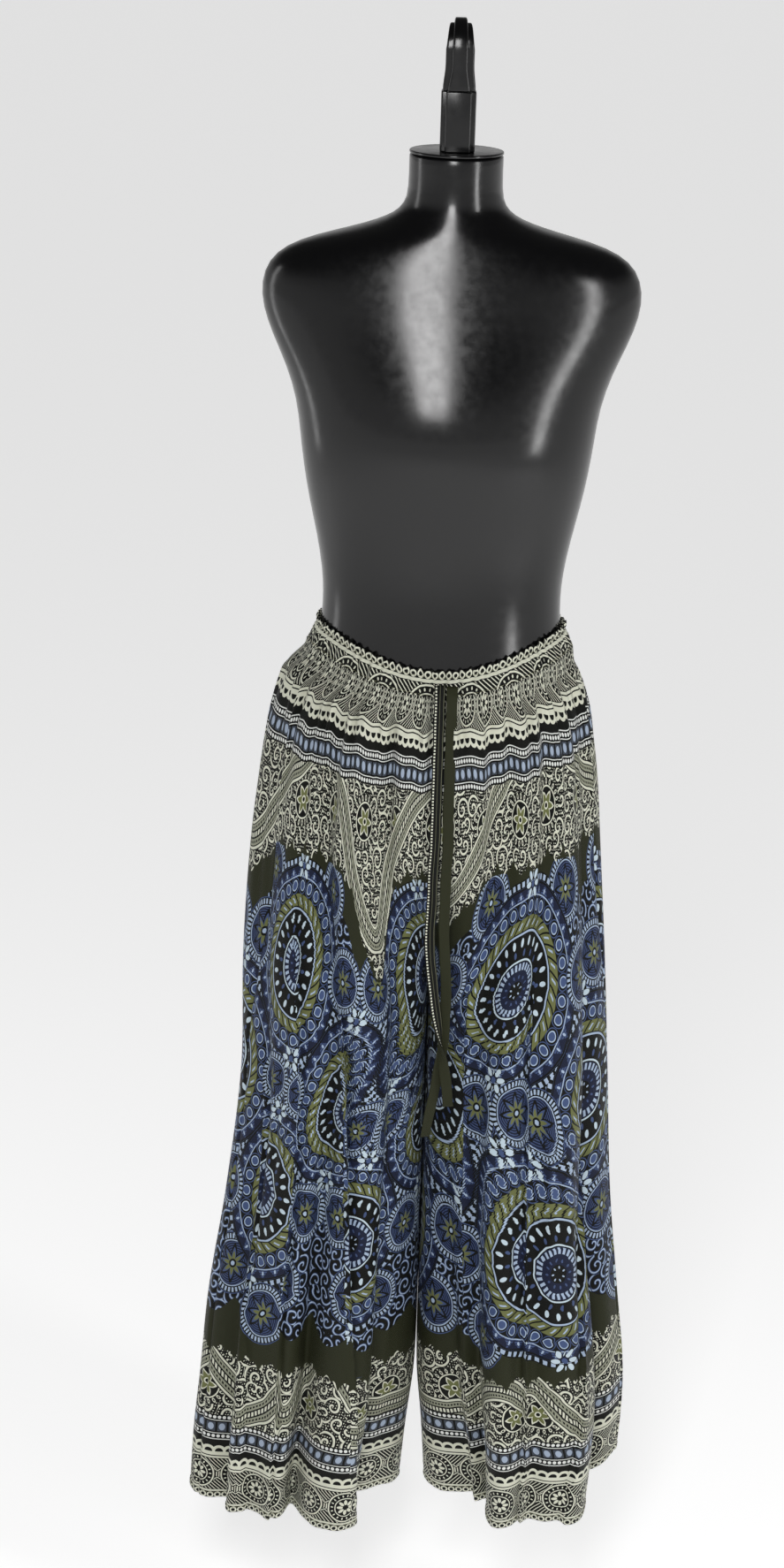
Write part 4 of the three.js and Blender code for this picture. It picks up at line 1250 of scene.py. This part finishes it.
# The waistband
# A strip of the same cloth sewn into a ring, folded over at the top and stitched twice: the upper row
# leaves a narrow ruffled heading, and between the rows runs the elastic that gathers it all.
BAND_COLUMNS = 960
BAND_OUTER_ROWS = 29
BAND_INNER_ROWS = 13
BAND_PROFILE = {
    "below": [0, 2.5, 5, 7, 9, 12, 15, 19, 22, 24],
    "outer": [3.8, 4.7, 3.9, 2.8, 4.4, 6.2, 7.1, 8.4, 9.3, 10.6],
    "inner": [3.8, 3, 1.5, 1.3, 1.4, 2.2, 3.2, 4.9, 6, 6.8],
    "wave": [2.5, 1.9, 1.1, 0.6, 1.2, 1.7, 1.7, 1.4, 1.0, 0.9],
}
BAND_BAKE_STRIPS = 8
BAND_PRINT_FULLNESS = 1.1
RIBBON_FAR_OFF = 500           # no ribbon crosses the band


def band_wave(angle, below):
    """The gathers of the band: two sizes that run up and down, uneven, and stronger at the heading."""
    slow = np.sin(64 * angle + 1.4 * np.sin(5 * angle) + 0.9 * np.sin(11 * angle))
    quick = np.sin(127 * angle + 1.7 * np.sin(7 * angle) + 0.05 * below)
    strong = 0.72 + 0.28 * np.sin(9 * angle + 1.2)
    return strong * (0.68 * slow + 0.42 * quick)


def make_band():
    angles = np.linspace(-np.pi / 2, 3 * np.pi / 2, BAND_COLUMNS + 1)
    below_outer = np.linspace(0, BAND_HEIGHT, BAND_OUTER_ROWS)
    below_inner = np.linspace(0, BAND_HEIGHT, BAND_INNER_ROWS)[::-1]
    rows = []
    for key, levels in (("outer", below_outer), ("inner", below_inner)):
        for below in levels:
            offset = smooth_curve(BAND_PROFILE["below"], BAND_PROFILE[key], below)
            wave = smooth_curve(BAND_PROFILE["below"], BAND_PROFILE["wave"], below)
            wave *= band_wave(angles, below) * (1 if key == "outer" else min(0.4 * max(offset - 1, 0), 0.9))
            lift = (0.9 * np.sin(77 * angles) + 0.6 * np.sin(139 * angles)) * math.exp(-below / 3)
            z = waist_top(angles) - below - 0.6 + lift
            x, y = form_face(angles, z, offset + wave)
            rows.append(np.stack([x, y, z], axis=-1))
    rows.append(rows[0])
    grid = np.array(rows)
    depth = np.concatenate([below_outer, -below_inner, [0]])
    return grid, angles, depth


def make_waistband():
    grid, _, depth = make_band()
    rows, columns = grid.shape[:2]
    joined = (np.arange(rows) % (rows - 1))[:, None] * (columns - 1) + np.arange(columns) % (columns - 1)
    loose = np.array(grid_faces(rows, columns))
    corners = loose.ravel()
    middle_row = grid[BAND_OUTER_ROWS // 2]
    around = np.concatenate([[0], np.cumsum(np.linalg.norm(np.diff(middle_row, axis=0), axis=1))])
    print_u, print_v = np.meshgrid(around * BAND_PRINT_FULLNESS, np.abs(depth))
    maps = {"Print": np.stack([print_u, print_v], axis=-1)}
    maps["Medallion"] = maps["Print"]
    maps["Ribbon"] = np.full_like(maps["Print"], RIBBON_FAR_OFF)
    maps["Lace"] = np.zeros_like(maps["Print"])
    corner_maps = {key: (pairs.reshape(-1, 2) * MM)[corners] for key, pairs in maps.items()}
    column = loose[:, 0] % columns
    strip = column * BAND_BAKE_STRIPS // (columns - 1)
    long_way = (corners % columns).reshape(-1, 4) / (columns - 1) * BAND_BAKE_STRIPS - strip[:, None]
    short_way = (corners // columns).reshape(-1, 4) / (rows - 1)
    corner_maps["OFBake"] = np.stack(
        [0.005 + 0.99 * long_way, (strip[:, None] + 0.04 + 0.92 * short_way) / BAND_BAKE_STRIPS], axis=-1
    ).reshape(-1, 2)
    points = grid[:-1, :-1].reshape(-1, 3)
    band = mesh_object("waistband_casing", points, joined.ravel()[loose], corner_maps)
    smooth(band)
    band.data.materials.append(print_outside)
    return band


waistband = make_waistband()
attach(waistband, "root")
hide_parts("waistband")


# The stitching
# Olive-grey thread, sewn by machine: two rows round the casing, one above and one below the elastic,
# and one row that holds the narrow roll of the hem. Each stitch dips into the cloth at both ends.
STITCH_LENGTH = 2.6
STITCH_PITCH = 3.9
STITCH_WIDE = 0.55
FIRST_STITCH = 1.2             # from the start of a row
STITCH_ARCH = {"share": [0, 0.16, 0.5, 0.84, 1], "lift": [-0.25, 0.3, 0.45, 0.3, -0.25]}
STITCH_SIDES = 6
STITCHES_ABOVE_HEM = 7.2
STITCHES_BELOW_WAIST = (7, 22)
SEAM_COLUMNS = 4               # of a panel's grid, left without stitches beside each seam
THREAD_GREY = (118, 118, 92)


def stitch_row(line, out):
    """Points and faces of the stitches along a line, with the way out of the cloth at each point."""
    along = np.concatenate([[0], np.cumsum(np.linalg.norm(np.diff(line, axis=0), axis=1))])
    starts = np.arange(FIRST_STITCH, along[-1] - STITCH_LENGTH, STITCH_PITCH)
    at = (starts[:, None] + np.array(STITCH_ARCH["share"]) * STITCH_LENGTH).ravel()
    lift = np.tile(STITCH_ARCH["lift"], len(starts))[:, None]
    place = np.stack([np.interp(at, along, line[:, axis]) for axis in range(3)], axis=1)
    away = np.stack([np.interp(at, along, out[:, axis]) for axis in range(3)], axis=1)
    turns = np.arange(STITCH_SIDES) * math.tau / STITCH_SIDES
    outwards, upwards = np.sin(turns) * STITCH_WIDE / 2, np.cos(turns) * STITCH_WIDE / 2
    rings = (place + away * lift)[:, None] + away[:, None] * outwards[:, None]
    rings[..., 2] += upwards
    faces = []
    rings_each = len(STITCH_ARCH["share"])
    for first in range(0, rings_each * STITCH_SIDES * len(starts), rings_each * STITCH_SIDES):
        walls = np.array(grid_faces(rings_each, STITCH_SIDES, closed=True)) + first
        ends = np.arange(STITCH_SIDES)
        faces.extend(walls.tolist())
        faces.append((first + ends).tolist())
        faces.append((first + (rings_each - 1) * STITCH_SIDES + ends[::-1]).tolist())
    return rings.reshape(-1, 3), faces


def make_stitches(name, rows):
    points, faces = np.zeros((0, 3)), []
    for line, out in rows:
        row_points, row_faces = stitch_row(line, out)
        faces.extend([[corner + len(points) for corner in face] for face in row_faces])
        points = np.vstack([points, row_points])
    stitches = mesh_object(name, points, faces, {})
    stitches.data.materials.append(thread)
    only(stitches)
    bpy.ops.object.mode_set(mode="EDIT")
    bpy.ops.mesh.select_all(action="SELECT")
    close_piece(stitches)
    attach(stitches, "root")


def make_thread():
    """Two-ply thread, matt, with a fine relief."""
    material = plain_material("sewing_thread", THREAD_GREY, 0.6, {"Specular IOR Level": 0.3})
    add_grain(material, object_place(), grain=0.3, depth=0.05)
    return material


thread = make_thread()
hem_rows = []
above_hem = (PANEL_LENGTH - panel_rows()) * CLOTH_LENGTH / PANEL_LENGTH
hem_row = np.argmin(np.abs(above_hem - STITCHES_ABOVE_HEM))
stitched = slice(SEAM_COLUMNS, -SEAM_COLUMNS)
for side, facing in PANELS.values():
    cloth = make_panel_grid(side, facing)[0]
    hem_rows.append((cloth[hem_row, stitched], outward(cloth, side, facing)[hem_row, stitched]))
make_stitches("hem_stitches", hem_rows)
casing, casing_angles, casing_depths = make_band()
casing_out = np.stack([np.cos(casing_angles), -np.sin(casing_angles), 0 * casing_angles], axis=1)
casing_rows = [np.argmin(np.abs(casing_depths - below)) for below in STITCHES_BELOW_WAIST]
make_stitches("casing_stitches", [(casing[row], casing_out) for row in casing_rows])


# The floor and the light
# A plain white studio floor that runs far back, well below the hem. One large soft light stands in
# front, a narrow one on each side, and white air all round fills the shadows.
FLOOR_SIZE = 80
FLOOR_PLACE = (0, 20, -1.72)
FLOOR_GLOW = {"Emission Color": (1, 1, 1, 1), "Emission Strength": 0.66}
LIT_MIDDLE = (0, 0, -0.9)      # where every light points: the middle of the part
# The air dims between a low and a high direction: the height of each, then how bright it is there.
AIR_FADE = {"From Min": 0.12, "From Max": 0.5, "To Min": 0.5, "To Max": 0.05}


def make_floor():
    bpy.ops.mesh.primitive_plane_add(size=FLOOR_SIZE, location=FLOOR_PLACE)
    floor = bpy.context.object
    floor.name = floor.data.name = "studio_floor"
    floor.data.materials.append(plain_material("studio_white", (235, 235, 235), 0.95, FLOOR_GLOW))


def add_light(name, width, height, place, watts):
    light = bpy.data.objects.new(name, bpy.data.lights.new(name, "AREA"))
    light.data.shape = "RECTANGLE"
    light.data.size = width
    light.data.size_y = height
    light.data.energy = watts
    light.location = place
    light.rotation_euler = (Vector(LIT_MIDDLE) - Vector(place)).to_track_quat("-Z", "Y").to_euler()
    bpy.context.scene.collection.objects.link(light)


def make_studio_air():
    """White all round: bright at the horizon, where the studio's walls would be, and dim overhead."""
    world = bpy.data.worlds.new("studio")
    world.use_nodes = True
    Field.tree = world.node_tree
    direction = add_node("ShaderNodeTexCoord").outputs["Generated"]
    split = add_node("ShaderNodeSeparateXYZ")
    feed(split.inputs[0], Field(direction))
    fade = add_node("ShaderNodeMapRange", interpolation_type="SMOOTHSTEP")
    feed(fade.inputs["Value"], Field(split.outputs["Z"]))
    for socket, value in AIR_FADE.items():
        fade.inputs[socket].default_value = value
    background = world.node_tree.nodes["Background"]
    background.inputs["Color"].default_value = (1, 1, 1, 1)
    feed(background.inputs["Strength"], Field(fade.outputs["Result"]))
    return world


make_floor()
add_light("front_light", 0.8, 1.6, (-0.4, -3.1, 1.2), 56)
add_light("left_light", 0.35, 2.0, (2.1, -1.5, -0.2), 20)
add_light("right_light", 0.35, 2.0, (-2.3, 0.5, -0.3), 5)
bpy.context.scene.world = make_studio_air()
bpy.context.scene.view_settings.view_transform = "Standard"
